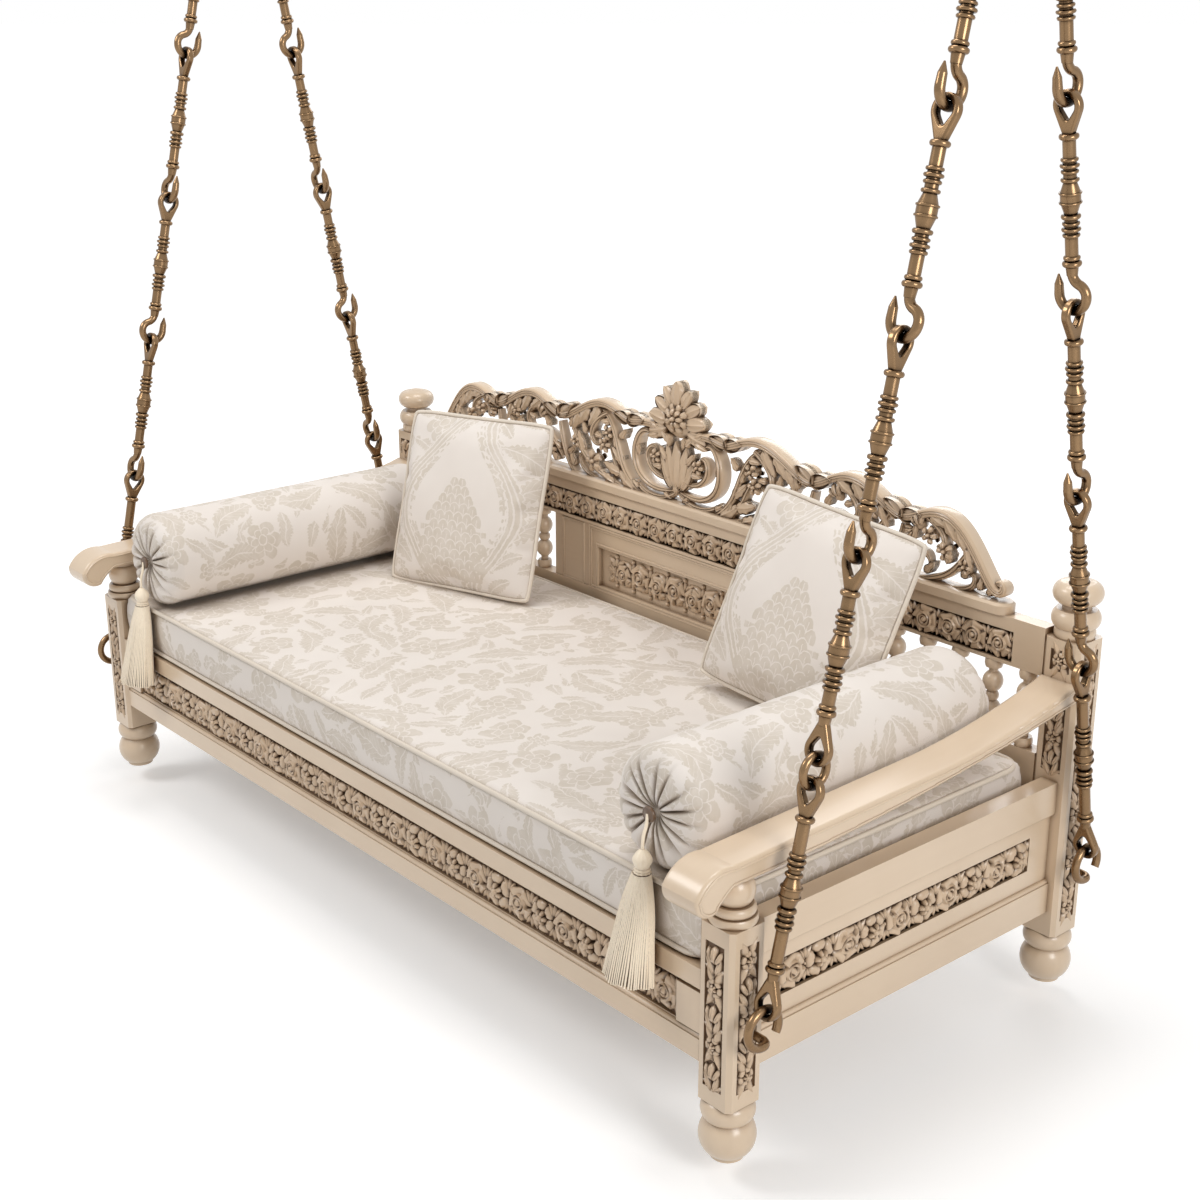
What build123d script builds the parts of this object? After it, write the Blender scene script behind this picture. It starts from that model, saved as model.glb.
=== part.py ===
from build123d import *
from math import acos, cos, degrees, radians, sin, sqrt, tan
import os

# A jhoola: a carved wooden swing seat hung on four chains of turned brass links.
# Millimetres. +Z is up, +X is to the right seen from the front, +Y is towards the backrest.
# The origin is on the ceiling, midway between the two ceiling plates and above the swing axis.
# Heights named "..._h" are measured up from the underside of the feet.

os.makedirs("parts", exist_ok=True)

LEFT, RIGHT = -1, 1
FRONT, BACK = -1, 1
side_name = {LEFT: "left", RIGHT: "right"}
end_name = {FRONT: "front", BACK: "back"}

# ---------------------------------------------------------------- driving dimensions
# Clearances
soft_gap = 0.3            # between a soft piece and what it touches
shaft_gap = 0.05          # radial, between a pin and its bore
joint_gap = 0.2           # between a tenon and its mortise
link_play = 0.3           # between a link's eye and the bar it hangs on

# Seat over the posts
seat_width = 1830
seat_depth = 802
seat_y = -30              # mid-depth of the seat, which puts its weight under the swing axis

# Suspension
ring_h = 2015             # centre of the master rings
chain_spacing = 1900      # between the left and the right chains
pin_drop = 40             # ceiling to the swing axis
ring_drop = 50            # swing axis to the bar at the top of the master ring
ring_bend = 45            # master ring, centreline radius
ring_bar = 7              # master ring, bar radius

# Ceiling plates
plate_length = 140
plate_width = 100
plate_thickness = 8
plate_hole_radius = 5.5
plate_hole_x = 50         # from the plate's centre
plate_hole_y = 32
cheek_thickness = 8
cheek_radius = 19
pin_radius = 9
pin_head_radius = 14
pin_head = 4
barrel_radius = 17
barrel_length = 34
barrel_side_gap = 0.5

# Chain links
link_pitch = 283
upper_links = 5
link_rod = 9              # radius of the plain rod
link_bead = 13.5          # radius of the beads
link_barrel = 15          # radius of the middle barrel
hook_bar = 7
hook_bend = 22            # hook bowl, centreline radius
hook_swan = 17            # swan neck, centreline radius
hook_leaf = 28            # length of the pointed tip
hook_tip = 1.2            # radius of its blunt end
strap_width = 13
strap_thickness = 9.5
strap_fillet = 4
eye_hole = 12             # radius of the round end of an eye's hole
eye_tail = 14             # centre to centre, round end to narrow end
eye_tail_radius = 4
eye_reach = 40            # held bar to the foot of the eye's neck
eye_neck = 8
joining_ring_bend = 22
joining_ring_bar = 6

# Post hooks
post_hook_bend = 28.5
post_hook_bar = 6.5
post_hook_h = 237         # centre of the open ring
front_hook_y = -374
back_hook_y = 356
post_hook_turn = 300      # how far the bar goes round, degrees
post_hook_corner = 12
hook_shank = 6
hook_flange = 11.5
hook_flange_thickness = 4
nut_flats = 19
nut_thickness = 9
washer_thickness = 2
nut_pocket_radius = 13
nut_pocket_depth = 14

# Posts
post_size = 66
post_bevel = 6.5
block_h = 93              # underside of the square block
front_block_top_h = 372
back_block_top_h = 600
foot_base = 25
foot_base_height = 8
foot_ball = 41.5
foot_ball_height = 53
foot_waist = 31
foot_collar = 39.5
neck_ring = 35
neck_bulb = 30
neck_throat = 22
finial_ring = 32.5
finial_torus = 38.5
finial_neck = 23
finial_bun = 39.5
field_width = 36
field_depth = 4
field_margin = 26         # block end to the end of its sunk field
back_low_field_h = (380, 492)
back_high_field_h = (548, 583)

# Rails
tenon_length = 20
tenon_thickness = 14
tenon_shoulder = 5        # above and below a tenon
quirk = 2                 # small step beside a rail's moulding
ovolo = 6                 # radius of a rail's quarter-round moulding
front_rail_inset = 6      # rail face behind the post face
front_rail_thickness = 26
front_bottom_rail_h = (145, 187)
front_top_rail_h = (251, 290)
front_stile_width = 49
front_tenon_setback = 13  # rail face to the middle of its tenon
frieze_thickness = 12
side_rail_inset = 17
side_rail_thickness = 30
side_tenon_setback = 15
side_bottom_rail_h = (135, 195)
side_top_rail_h = (303, 365)
side_panel_thickness = 18
side_frieze_h = (223, 281)
side_frieze_length = 570
carving_thickness = 5
back_rail_inset = 3
back_rail_thickness = 28
back_tenon_setback = 9
back_tenon_top_h = 590
back_seat_rail_h = (145, 290)
back_bottom_rail_h = (298, 398)
back_top_rail_h = (530, 610)
back_frieze_h = (536, 587)
back_frieze_length = 1580
back_panel_width = 714
back_panel_thickness = 24
back_recess_width = 444
back_recess_h = (404, 487)
back_recess_depth = 10
panel_carving_width = 400
panel_carving_height = 68
spindle_count = 7         # on each side of the back panel
spindle_radius = 17
spindle_pin = 5
spindle_pin_length = 10

# Crest
crest_base_h = 18
crest_base_width = 1550
crest_base_depth = 44
crest_thickness = 28
crest_band = 22
crest_foot = 14
crest_scroll_bar = 13
crest_scroll_depth = 20
crest_humps = [(200, 796), (430, 778), (630, 757)]
crest_dips = [(100, 750), (340, 748), (550, 731)]
crest_end = (748, 655)
crest_end_radius = 15
finial_leaf_steps = [(100, 775), (72, 815), (40, 845), (0, 860)]
medallion_x = 64
medallion_h = 700

# Arms
arm_width = 70
arm_under_h = 444         # flat that rests on the front post
arm_thickness = 31
arm_back_top_h = 535
arm_middle_top_h = 486
arm_nose_y = -470
arm_nose_bottom_h = 413
arm_edge = 6

# Deck and cushions
slat_count = 12
slat_width = 80
slat_thickness = 18
slat_pitch = 140
cleat_size = 20
mattress_width = 1686
mattress_front_y = -385
mattress_back_y = 318
mattress_thickness = 98
mattress_corner = 40
mattress_edge = 12
bolster_radius = 92
bolster_x = 737
bolster_front_y = -385
bolster_back_y = 262
bolster_edge = 14
button_radius = 10
button_thickness = 5
cushion_size = 342
cushion_thickness = 110
cushion_slope = 52        # degrees, how fast the pillow thins to its edge
left_cushion_foot = (-409, 128)
left_cushion_turn = 14.7
left_cushion_lean = 18
left_cushion_roll = 2
right_cushion_foot = (454, 148)
right_cushion_turn = 3.5
right_cushion_lean = 22
right_cushion_roll = -5.6
cushion_corner = 12

# Tassels
tassel_cord_radius = 2.5
tassel_head_y = -402
tassel_head_h = 412
tassel_head_radius = 13
tassel_head_length = 36
tassel_skirt_bottom = (-425, 238)
tassel_skirt_top = (15, 12)
tassel_skirt_foot = (40, 26)

# ---------------------------------------------------------------- worked-out places
pin_z = -pin_drop
ring_z = pin_z - ring_drop - ring_bend
foot_z = ring_z - ring_h
post_x = (seat_width - post_size) / 2
post_y = (seat_depth - post_size) / 2
inner_x = post_x - post_size / 2
inner_y = post_y - post_size / 2
outer_x = seat_width / 2
outer_y = seat_depth / 2
chain_x = chain_spacing / 2
front_rail_y = -outer_y + front_rail_inset
side_rail_x = outer_x - side_rail_inset
back_rail_y = inner_y + back_rail_inset
frieze_inset = quirk + ovolo
deck_h = front_top_rail_h[1]
mattress_top_h = deck_h + soft_gap + mattress_thickness
bolster_h = mattress_top_h + soft_gap + bolster_radius
strap_flat = strap_width / 2 - strap_fillet
hook_turn_angle = degrees(acos(1 - hook_bend / (2 * hook_swan)))
hook_rise = hook_bend + 2 * hook_swan * sin(radians(hook_turn_angle))


def at(x, y, h):
    """A point by its place on the seat: across, back from mid-depth, up from the feet."""
    return (x, seat_y + y, foot_z + h)


def level(x, y, h):
    """A horizontal plane."""
    return Plane(origin=at(x, y, h))


def facing_front(x, y, h):
    """An upright plane across the seat: drawn in X and up, facing the sitter's feet."""
    return Plane(origin=at(x, y, h), x_dir=(1, 0, 0), z_dir=(0, -1, 0))


def facing_side(x, y, h):
    """An upright plane along the seat's depth: drawn in Y and up, facing right."""
    return Plane(origin=at(x, y, h), x_dir=(0, 1, 0), z_dir=(1, 0, 0))


def save(piece, name):
    """Names a finished piece and writes it."""
    piece.label = name
    export_step(piece, "parts/" + name + ".step")


def turning(steps):
    """Half outline of a turned piece, from the axis out and up.
    Each step is (height, radius at its foot, radius at its top, bulge at its middle)."""
    height = 0
    radius = 0
    for rise, foot, top, bulge in steps:
        if foot != radius:
            Line((radius, height), (foot, height))
        if bulge:
            middle = ((foot + top) / 2 + bulge, height + rise / 2)
            ThreePointArc((foot, height), middle, (top, height + rise))
        else:
            Line((foot, height), (top, height + rise))
        height += rise
        radius = top
    if radius:
        Line((radius, height), (0, height))
    Line((0, height), (0, 0))


def add_turning(plane, steps):
    """Turns the steps about the plane's own Y axis, inside the part being built."""
    with BuildSketch(plane) as half:
        with BuildLine():
            turning(steps)
        make_face()
    revolve(half.sketch, axis=Axis(plane.origin, plane.y_dir))


# ---------------------------------------------------------------- ceiling fittings
cheek_x = barrel_length / 2 + barrel_side_gap + cheek_thickness / 2
pin_grip = barrel_length / 2 + barrel_side_gap + cheek_thickness

for side in (LEFT, RIGHT):
    plate_x = side * chain_x
    with BuildPart() as ceiling_plate:
        with BuildSketch(Plane((plate_x, 0, -plate_thickness))) as plate_outline:
            Rectangle(plate_length, plate_width)
            fillet(plate_outline.vertices(), plate_thickness)
            with GridLocations(2 * plate_hole_x, 2 * plate_hole_y, 2, 2):
                Circle(plate_hole_radius, mode=Mode.SUBTRACT)
        extrude(amount=plate_thickness)
        for cheek in (LEFT, RIGHT):
            cheek_plane = Plane(
                origin=(plate_x + cheek * cheek_x - cheek_thickness / 2, 0, pin_z),
                x_dir=(0, 1, 0),
                z_dir=(1, 0, 0),
            )
            with BuildSketch(cheek_plane):
                Circle(cheek_radius)
                with Locations((0, pin_drop - plate_thickness)):
                    Rectangle(2.6 * cheek_radius, 1)
                make_hull()
                Circle(pin_radius + shaft_gap, mode=Mode.SUBTRACT)
            extrude(amount=cheek_thickness)
    save(ceiling_plate.part, side_name[side] + "_ceiling_plate")

    pin_plane = Plane(
        origin=(plate_x + side * (pin_grip + pin_head), 0, pin_z),
        x_dir=(0, 1, 0),
        z_dir=(-side, 0, 0),
    )
    with BuildPart() as pivot_pin:
        with BuildSketch(pin_plane):
            Circle(pin_head_radius)
        extrude(amount=pin_head)
        with BuildSketch(pin_plane):
            Circle(pin_radius)
        extrude(amount=2 * pin_grip + 2 * pin_head)
        pin_rims = pivot_pin.edges().filter_by(GeomType.CIRCLE).sort_by(Axis.X)
        chamfer(pin_rims[0 if side == RIGHT else -1], 1.5)
    save(pivot_pin.part, side_name[side] + "_pivot_pin")


# ---------------------------------------------------------------- links
# A link is drawn along +Y from the centre of the bar or bowl at its foot, with its own hook
# and eye in the XY plane.
def strap_seat(bend, bar):
    """How far an eye's strap stands from the centre of a bent bar, so that they just clear."""
    reach = bend - bar - strap_fillet - link_play
    return bend - strap_fillet - sqrt(reach**2 - strap_flat**2)


def make_eye(bend, bar):
    """A flat teardrop eye hung on a bent bar at the origin, with its neck towards -Y."""
    centre = strap_seat(bend, bar) - eye_hole
    with BuildPart() as eye:
        with BuildSketch():
            with Locations((0, centre)):
                Circle(eye_hole + strap_thickness)
            with Locations((0, -eye_reach)):
                Circle(eye_neck)
            make_hull()
        extrude(amount=strap_width / 2, both=True)
        with BuildSketch():
            with Locations((0, centre)):
                Circle(eye_hole)
            with Locations((0, centre - eye_tail)):
                Circle(eye_tail_radius)
            make_hull()
        extrude(amount=strap_width / 2, both=True, mode=Mode.SUBTRACT)
        rims = eye.edges().group_by(Axis.Z)
        fillet(rims[0] + rims[-1], strap_fillet)
    return eye.part


def add_bar(stretch, radius):
    """Fills one straight or bent stretch of a round bar, inside the part being built."""
    with BuildSketch(Plane(origin=stretch @ 0, z_dir=stretch % 0)) as section:
        Circle(radius)
    if stretch.geom_type == GeomType.LINE:
        extrude(section.sketch, amount=stretch.length)
        return
    centre = stretch.arc_center
    turn_axis = (stretch @ 0 - centre).cross(stretch % 0)
    turn = degrees(stretch.length / stretch.radius)
    revolve(section.sketch, axis=Axis(centre, turn_axis), revolution_arc=turn)


def make_hook():
    """A round bar that drops along -Y, swings out and rounds a bowl to a leaf-shaped tip."""
    with BuildPart() as hook:
        with BuildLine() as route:
            shank = Line((0, hook_rise + hook_bar), (0, hook_rise))
            out = JernArc(start=shank @ 1, tangent=shank % 1, radius=hook_swan, arc_size=hook_turn_angle)
            back = JernArc(start=out @ 1, tangent=out % 1, radius=hook_swan, arc_size=-hook_turn_angle)
            JernArc(start=back @ 1, tangent=back % 1, radius=hook_bend, arc_size=-180)
        for stretch in route.edges():
            add_bar(stretch, hook_bar)
        with BuildSketch():
            with BuildLine():
                leaf_foot = (-hook_bend + hook_bar, hook_bend)
                leaf_belly = (-hook_bend + 0.9 * hook_bar, hook_bend + hook_leaf / 2)
                leaf_edge = (-hook_bend + hook_tip, hook_bend + hook_leaf)
                leaf_tip = (-hook_bend, hook_bend + hook_leaf)
                Polyline(leaf_foot, leaf_belly, leaf_edge, leaf_tip, (-hook_bend, hook_bend), leaf_foot)
            make_face()
        revolve(axis=Axis((-hook_bend, hook_bend, 0), (0, 1, 0)))
    return hook.part


def link_steps(length):
    """The turned stem: beads at both ends and a stepped barrel in the middle."""
    rod, bead, barrel = link_rod, link_bead - link_rod, link_barrel
    ends = 12 + 9 + 7 + 9
    middle = 7 + 14 + 16 + 13 + 6
    plain = (length - ends - middle) / 2
    return [
        (12, 0.85 * rod, rod, 0),
        (9, rod, rod, bead),
        (7, rod, rod, 0.6 * bead),
        (plain, rod, rod, 0),
        (7, rod, rod, bead),
        (14, rod, 0.9 * barrel, 0),
        (3, barrel, barrel, 0.6),
        (10, 0.93 * barrel, 0.93 * barrel, 0),
        (3, barrel, barrel, 0.6),
        (13, 0.9 * barrel, rod, 0),
        (6, rod, rod, 0.8 * bead),
        (plain, rod, rod, 0),
        (9, rod, rod, bead),
    ]


def make_link(length, foot, twist, top_bend, top_bar):
    """One whole link. foot is a made hook or eye; twist turns the top eye about the link."""
    eye = make_eye(top_bend, top_bar)
    foot_reach = hook_rise - hook_bar / 2 if foot is hook_foot else eye_reach
    with BuildPart() as link:
        add(foot)
        stem_plane = Plane(origin=(0, foot_reach, 0))
        add_turning(stem_plane, link_steps(length - foot_reach - eye_reach))
        top_across = (cos(twist), 0, sin(twist))
        top_normal = (-sin(twist), 0, cos(twist))
        with Locations(Plane(origin=(0, length, 0), x_dir=top_across, z_dir=top_normal)):
            add(eye)
    return link.part


hook_foot = make_hook()


def turned_over(piece):
    """The same piece with its neck towards +Y."""
    with BuildPart() as turned:
        with Locations(Plane(origin=(0, 0, 0), x_dir=(-1, 0, 0), z_dir=(0, 0, 1))):
            add(piece)
    return turned.part


post_hook_eye = turned_over(make_eye(post_hook_bend, post_hook_bar))
joining_eye = turned_over(make_eye(joining_ring_bend, joining_ring_bar))
quarter_turn = radians(90)


def chain_course(hook_y):
    """Direction of a chain and its length, from post hook centre to master ring centre."""
    rise = Vector(0, -(seat_y + hook_y), ring_z - (foot_z + post_hook_h))
    return rise.normalized(), rise.length


for side in (LEFT, RIGHT):
    for end, hook_y in ((FRONT, front_hook_y), (BACK, back_hook_y)):
        course, span = chain_course(hook_y)
        across = Vector(side, 0, 0)
        along = Vector(0, side * course.Z, -side * course.Y)
        joined_by_ring = side == RIGHT and end == FRONT
        run = span - post_hook_bend - ring_bend
        bottom_length = run - upper_links * link_pitch
        joint = Vector(*at(side * chain_x, hook_y, post_hook_h)) + course * post_hook_bend
        with BuildPart() as links:
            if joined_by_ring:
                length = bottom_length - joining_ring_bend
                bottom = make_link(length, post_hook_eye, 0, joining_ring_bend, joining_ring_bar)
            else:
                length = bottom_length
                bottom = make_link(length, post_hook_eye, quarter_turn, hook_bend, hook_bar)
            with Locations(Plane(origin=joint, x_dir=across, z_dir=across.cross(course))):
                add(bottom)
            joint = joint + course * length
            if joined_by_ring:
                joining_joint = joint + course * joining_ring_bend
                joint = joint + course * (2 * joining_ring_bend)
            for number in range(upper_links):
                lateral = across if number % 2 == 0 else along
                last = number == upper_links - 1
                top = (ring_bend, ring_bar) if last else (hook_bend, hook_bar)
                ringed = joined_by_ring and number == 0
                length = link_pitch - joining_ring_bend if ringed else link_pitch
                foot = joining_eye if ringed else hook_foot
                with Locations(Plane(origin=joint, x_dir=lateral, z_dir=lateral.cross(course))):
                    add(make_link(length, foot, 0, *top))
                joint = joint + course * length
        save(links.part, end_name[end] + "_" + side_name[side] + "_chain_links")

        if joined_by_ring:
            with BuildPart() as joining_ring:
                ring_plane = Plane(origin=joining_joint, x_dir=course, z_dir=(1, 0, 0))
                with Locations(ring_plane):
                    Torus(joining_ring_bend, joining_ring_bar)
            save(joining_ring.part, "chain_joining_ring")

    with BuildPart() as master_ring:
        with Locations(Plane(origin=(side * chain_x, 0, ring_z), x_dir=(0, 1, 0), z_dir=(1, 0, 0))):
            Torus(ring_bend, ring_bar)
    save(master_ring.part, side_name[side] + "_master_ring")

    hanger_eye = turned_over(make_eye(ring_bend, ring_bar))
    hanger_origin = (side * chain_x, 0, pin_z - ring_drop)
    with BuildPart() as hanger:
        with Locations(Plane(origin=hanger_origin, x_dir=(1, 0, 0), z_dir=(0, -1, 0))):
            add(hanger_eye)
        barrel_plane = Plane(
            origin=(side * chain_x - barrel_length / 2, 0, pin_z), x_dir=(0, 1, 0), z_dir=(1, 0, 0)
        )
        with BuildSketch(barrel_plane):
            Circle(barrel_radius)
        extrude(amount=barrel_length)
        with BuildSketch(barrel_plane):
            Circle(pin_radius + shaft_gap)
        extrude(amount=barrel_length, mode=Mode.SUBTRACT)
    save(hanger.part, side_name[side] + "_hanger_block")


# ---------------------------------------------------------------- post hooks and their nuts
flange_x = outer_x - field_depth
nut_seat_x = inner_x + nut_pocket_depth
hook_stem_h = post_hook_h - post_hook_bend

for side in (LEFT, RIGHT):
    for end, hook_y in ((FRONT, front_hook_y), (BACK, back_hook_y)):
        stem_y = hook_y + post_hook_corner
        stem = Vector(*at(0, stem_y, hook_stem_h))
        shank_end = nut_seat_x - washer_thickness - nut_thickness - 1
        with BuildPart() as post_hook:
            shank_plane = Plane(
                origin=stem + Vector(side * shank_end, 0, 0), x_dir=(0, 1, 0), z_dir=(side, 0, 0)
            )
            with BuildSketch(shank_plane):
                Circle(hook_shank)
            extrude(amount=flange_x - shank_end)
            with BuildSketch(shank_plane.offset(flange_x - shank_end)):
                Circle(hook_flange)
            extrude(amount=hook_flange_thickness)
            with BuildLine() as route:
                bend_start = Vector(side * (chain_x - post_hook_corner), stem.Y, stem.Z)
                Line(Vector(side * flange_x, stem.Y, stem.Z), bend_start)
                ring_start = Vector(side * chain_x, stem.Y - post_hook_corner, stem.Z)
                bend_middle = Vector(
                    side * (chain_x - post_hook_corner * (1 - sin(quarter_turn / 2))),
                    stem.Y - post_hook_corner * (1 - cos(quarter_turn / 2)),
                    stem.Z,
                )
                ThreePointArc(bend_start, bend_middle, ring_start)
                ring_points = []
                for turn in (post_hook_turn / 2, post_hook_turn):
                    angle = radians(turn)
                    ring_points.append(
                        ring_start
                        + Vector(0, -sin(angle), 1 - cos(angle)) * post_hook_bend
                    )
                ThreePointArc(ring_start, *ring_points)
            with BuildSketch(Plane(origin=route.line @ 0, z_dir=route.line % 0)):
                Circle(post_hook_bar)
            sweep()
        save(post_hook.part, end_name[end] + "_" + side_name[side] + "_post_hook")

with BuildPart() as hook_nuts:
    for side in (LEFT, RIGHT):
        for end, hook_y in ((FRONT, front_hook_y), (BACK, back_hook_y)):
            stem_y = hook_y + post_hook_corner
            nut_plane = Plane(
                origin=at(side * nut_seat_x, stem_y, hook_stem_h), x_dir=(0, 1, 0), z_dir=(-side, 0, 0)
            )
            with BuildSketch(nut_plane):
                Circle(nut_pocket_radius - 1)
                Circle(hook_shank + 2 * shaft_gap, mode=Mode.SUBTRACT)
            extrude(amount=washer_thickness)
            with BuildSketch(nut_plane.offset(washer_thickness)):
                RegularPolygon(nut_flats / 2, 6, major_radius=False)
                Circle(hook_shank + 2 * shaft_gap, mode=Mode.SUBTRACT)
            extrude(amount=nut_thickness)
save(hook_nuts.part, "hook_nuts")


# ---------------------------------------------------------------- rails
def draw_rail(height, thickness, moulded):
    """Section of a rail, from its outer face inwards and from its lower edge up.
    moulded is the edge with a quarter-round beside a panel: 1 upper, -1 lower, 0 none."""
    if not moulded:
        with Locations((thickness / 2, height / 2)):
            Rectangle(thickness, height)
        return
    foot = 0 if moulded > 0 else height
    edge = height if moulded > 0 else 0
    step = moulded * (quirk + ovolo)
    corner = edge - step
    arc_reach = ovolo * sin(quarter_turn / 2)
    with BuildLine() as section:
        Polyline((quirk, corner), (0, corner), (0, foot), (thickness, foot), (thickness, edge))
        Polyline((thickness, edge), (frieze_inset, edge), (frieze_inset, corner + moulded * ovolo))
        ThreePointArc(
            (frieze_inset, corner + moulded * ovolo),
            (quirk + ovolo - arc_reach, corner + moulded * arc_reach),
            (quirk, corner),
        )
    make_face(section.edges())


def tenon_span(rail_h):
    """Foot and height of a rail's tenon, measured up from the rail's lower edge."""
    top_h = min(rail_h[1] - tenon_shoulder, back_tenon_top_h)
    return tenon_shoulder, top_h - rail_h[0] - tenon_shoulder


def make_rail(start_plane, rail_h, thickness, length, moulded, setback):
    """A rail drawn on its end plane and run along the plane's normal, tenoned at both ends."""
    height = rail_h[1] - rail_h[0]
    tenon_foot, tenon_height = tenon_span(rail_h)
    with BuildPart() as rail:
        with BuildSketch(start_plane):
            draw_rail(height, thickness, moulded)
        extrude(amount=length)
        with BuildSketch(start_plane.offset(-tenon_length)):
            with Locations((setback, tenon_foot + tenon_height / 2)):
                Rectangle(tenon_thickness, tenon_height)
        extrude(amount=length + 2 * tenon_length)
    return rail.part


def across_from(face_y, rail_h):
    """End plane of a rail that runs along X between the left and the right post."""
    return Plane(origin=at(-inner_x, face_y, rail_h[0]), x_dir=(0, 1, 0), z_dir=(1, 0, 0))


def along_from(side, rail_h):
    """End plane of a side rail, which runs along Y between a front and a back post."""
    start = at(side * side_rail_x, -side * inner_y, rail_h[0])
    return Plane(origin=start, x_dir=(-side, 0, 0), z_dir=(0, side, 0))


rail_run = 2 * inner_x
side_run = 2 * inner_y
front_rails = {
    "front_bottom_rail": (front_bottom_rail_h, 1),
    "front_top_rail": (front_top_rail_h, -1),
}
for name, (rail_h, moulded) in front_rails.items():
    end_plane = across_from(front_rail_y, rail_h)
    front_rail = make_rail(
        end_plane, rail_h, front_rail_thickness, rail_run, moulded, front_tenon_setback
    )
    save(front_rail, name)

frieze_h = (front_bottom_rail_h[1], front_top_rail_h[0])
frieze_height = frieze_h[1] - frieze_h[0]
frieze_half = inner_x - front_stile_width
with BuildPart() as front_frieze:
    frieze_back_y = front_rail_y + frieze_inset + frieze_thickness
    with BuildSketch(facing_front(0, frieze_back_y, sum(frieze_h) / 2)):
        Rectangle(2 * frieze_half, frieze_height)
    extrude(amount=frieze_thickness)
save(front_frieze.part, "front_frieze")

with BuildPart() as front_stiles:
    with BuildSketch(facing_front(0, front_rail_y + front_rail_thickness, sum(frieze_h) / 2)):
        with GridLocations(2 * (inner_x - front_stile_width / 2), 0, 2, 1):
            Rectangle(front_stile_width, frieze_height)
    extrude(amount=front_rail_thickness - quirk)
save(front_stiles.part, "front_stiles")

side_rails = {
    "bottom_rail": (side_bottom_rail_h, 1),
    "top_rail": (side_top_rail_h, -1),
}
side_panel_h = (side_bottom_rail_h[1], side_top_rail_h[0])
side_frieze_height = side_frieze_h[1] - side_frieze_h[0]
for side in (LEFT, RIGHT):
    for name, (rail_h, moulded) in side_rails.items():
        end_plane = along_from(side, rail_h)
        side_rail = make_rail(
            end_plane, rail_h, side_rail_thickness, side_run, moulded, side_tenon_setback
        )
        save(side_rail, side_name[side] + "_side_" + name)

    panel_face_x = side * (side_rail_x - frieze_inset)
    panel_plane = Plane(
        origin=at(panel_face_x, 0, sum(side_panel_h) / 2), x_dir=(0, 1, 0), z_dir=(side, 0, 0)
    )
    field_plane = Plane(
        origin=at(panel_face_x, 0, sum(side_frieze_h) / 2), x_dir=(0, 1, 0), z_dir=(side, 0, 0)
    )
    with BuildPart() as side_panel:
        with BuildSketch(panel_plane):
            Rectangle(side_run, side_panel_h[1] - side_panel_h[0])
        extrude(amount=-side_panel_thickness)
        with BuildSketch(field_plane):
            Rectangle(side_frieze_length, side_frieze_height)
        extrude(amount=-carving_thickness, mode=Mode.SUBTRACT)
    save(side_panel.part, side_name[side] + "_side_panel")

    with BuildPart() as side_frieze:
        with BuildSketch(field_plane):
            Rectangle(side_frieze_length - joint_gap, side_frieze_height - joint_gap)
        extrude(amount=-carving_thickness)
    save(side_frieze.part, side_name[side] + "_side_frieze")

spindle_first = back_panel_width / 2
spindle_pitch = (inner_x - spindle_first) / (spindle_count + 0.25)
spindle_y = back_rail_y + back_rail_thickness / 2
spindle_places = []
for side in (LEFT, RIGHT):
    for number in range(spindle_count):
        spindle_places.append(side * (spindle_first + (number + 0.75) * spindle_pitch))

back_rails = {
    "back_seat_rail": (back_seat_rail_h, 0),
    "back_bottom_rail": (back_bottom_rail_h, 1),
    "back_top_rail": (back_top_rail_h, -1),
}
for name, (rail_h, bored) in back_rails.items():
    with BuildPart() as back_rail:
        end_plane = across_from(back_rail_y, rail_h)
        add(make_rail(end_plane, rail_h, back_rail_thickness, rail_run, 0, back_tenon_setback))
        if bored:
            bored_h = rail_h[1] if bored > 0 else rail_h[0]
            with BuildSketch(level(0, spindle_y, bored_h)):
                with Locations([(x, 0) for x in spindle_places]):
                    Circle(spindle_pin + joint_gap)
            extrude(amount=-bored * (spindle_pin_length + 1), mode=Mode.SUBTRACT)
        if name == "back_top_rail":
            with BuildSketch(facing_front(0, back_rail_y, sum(back_frieze_h) / 2)):
                Rectangle(back_frieze_length, back_frieze_h[1] - back_frieze_h[0])
            extrude(amount=-carving_thickness, mode=Mode.SUBTRACT)
    save(back_rail.part, name)

with BuildPart() as back_frieze:
    with BuildSketch(facing_front(0, back_rail_y, sum(back_frieze_h) / 2)):
        Rectangle(back_frieze_length - joint_gap, back_frieze_h[1] - back_frieze_h[0] - joint_gap)
    extrude(amount=-carving_thickness)
save(back_frieze.part, "back_frieze")

back_gap_h = (back_bottom_rail_h[1], back_top_rail_h[0])
panel_front_y = spindle_y - back_panel_thickness / 2
with BuildPart() as back_panel:
    with BuildSketch(facing_front(0, panel_front_y, sum(back_gap_h) / 2)):
        Rectangle(back_panel_width, back_gap_h[1] - back_gap_h[0])
    extrude(amount=-back_panel_thickness)
    with BuildSketch(facing_front(0, panel_front_y, sum(back_recess_h) / 2)):
        Rectangle(back_recess_width, back_recess_h[1] - back_recess_h[0])
    extrude(amount=-back_recess_depth, mode=Mode.SUBTRACT)
save(back_panel.part, "back_panel")

with BuildPart() as panel_carving:
    with BuildSketch(facing_front(0, panel_front_y + back_recess_depth, sum(back_recess_h) / 2)):
        Rectangle(panel_carving_width, panel_carving_height)
    extrude(amount=carving_thickness)
save(panel_carving.part, "back_panel_carving")

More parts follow.
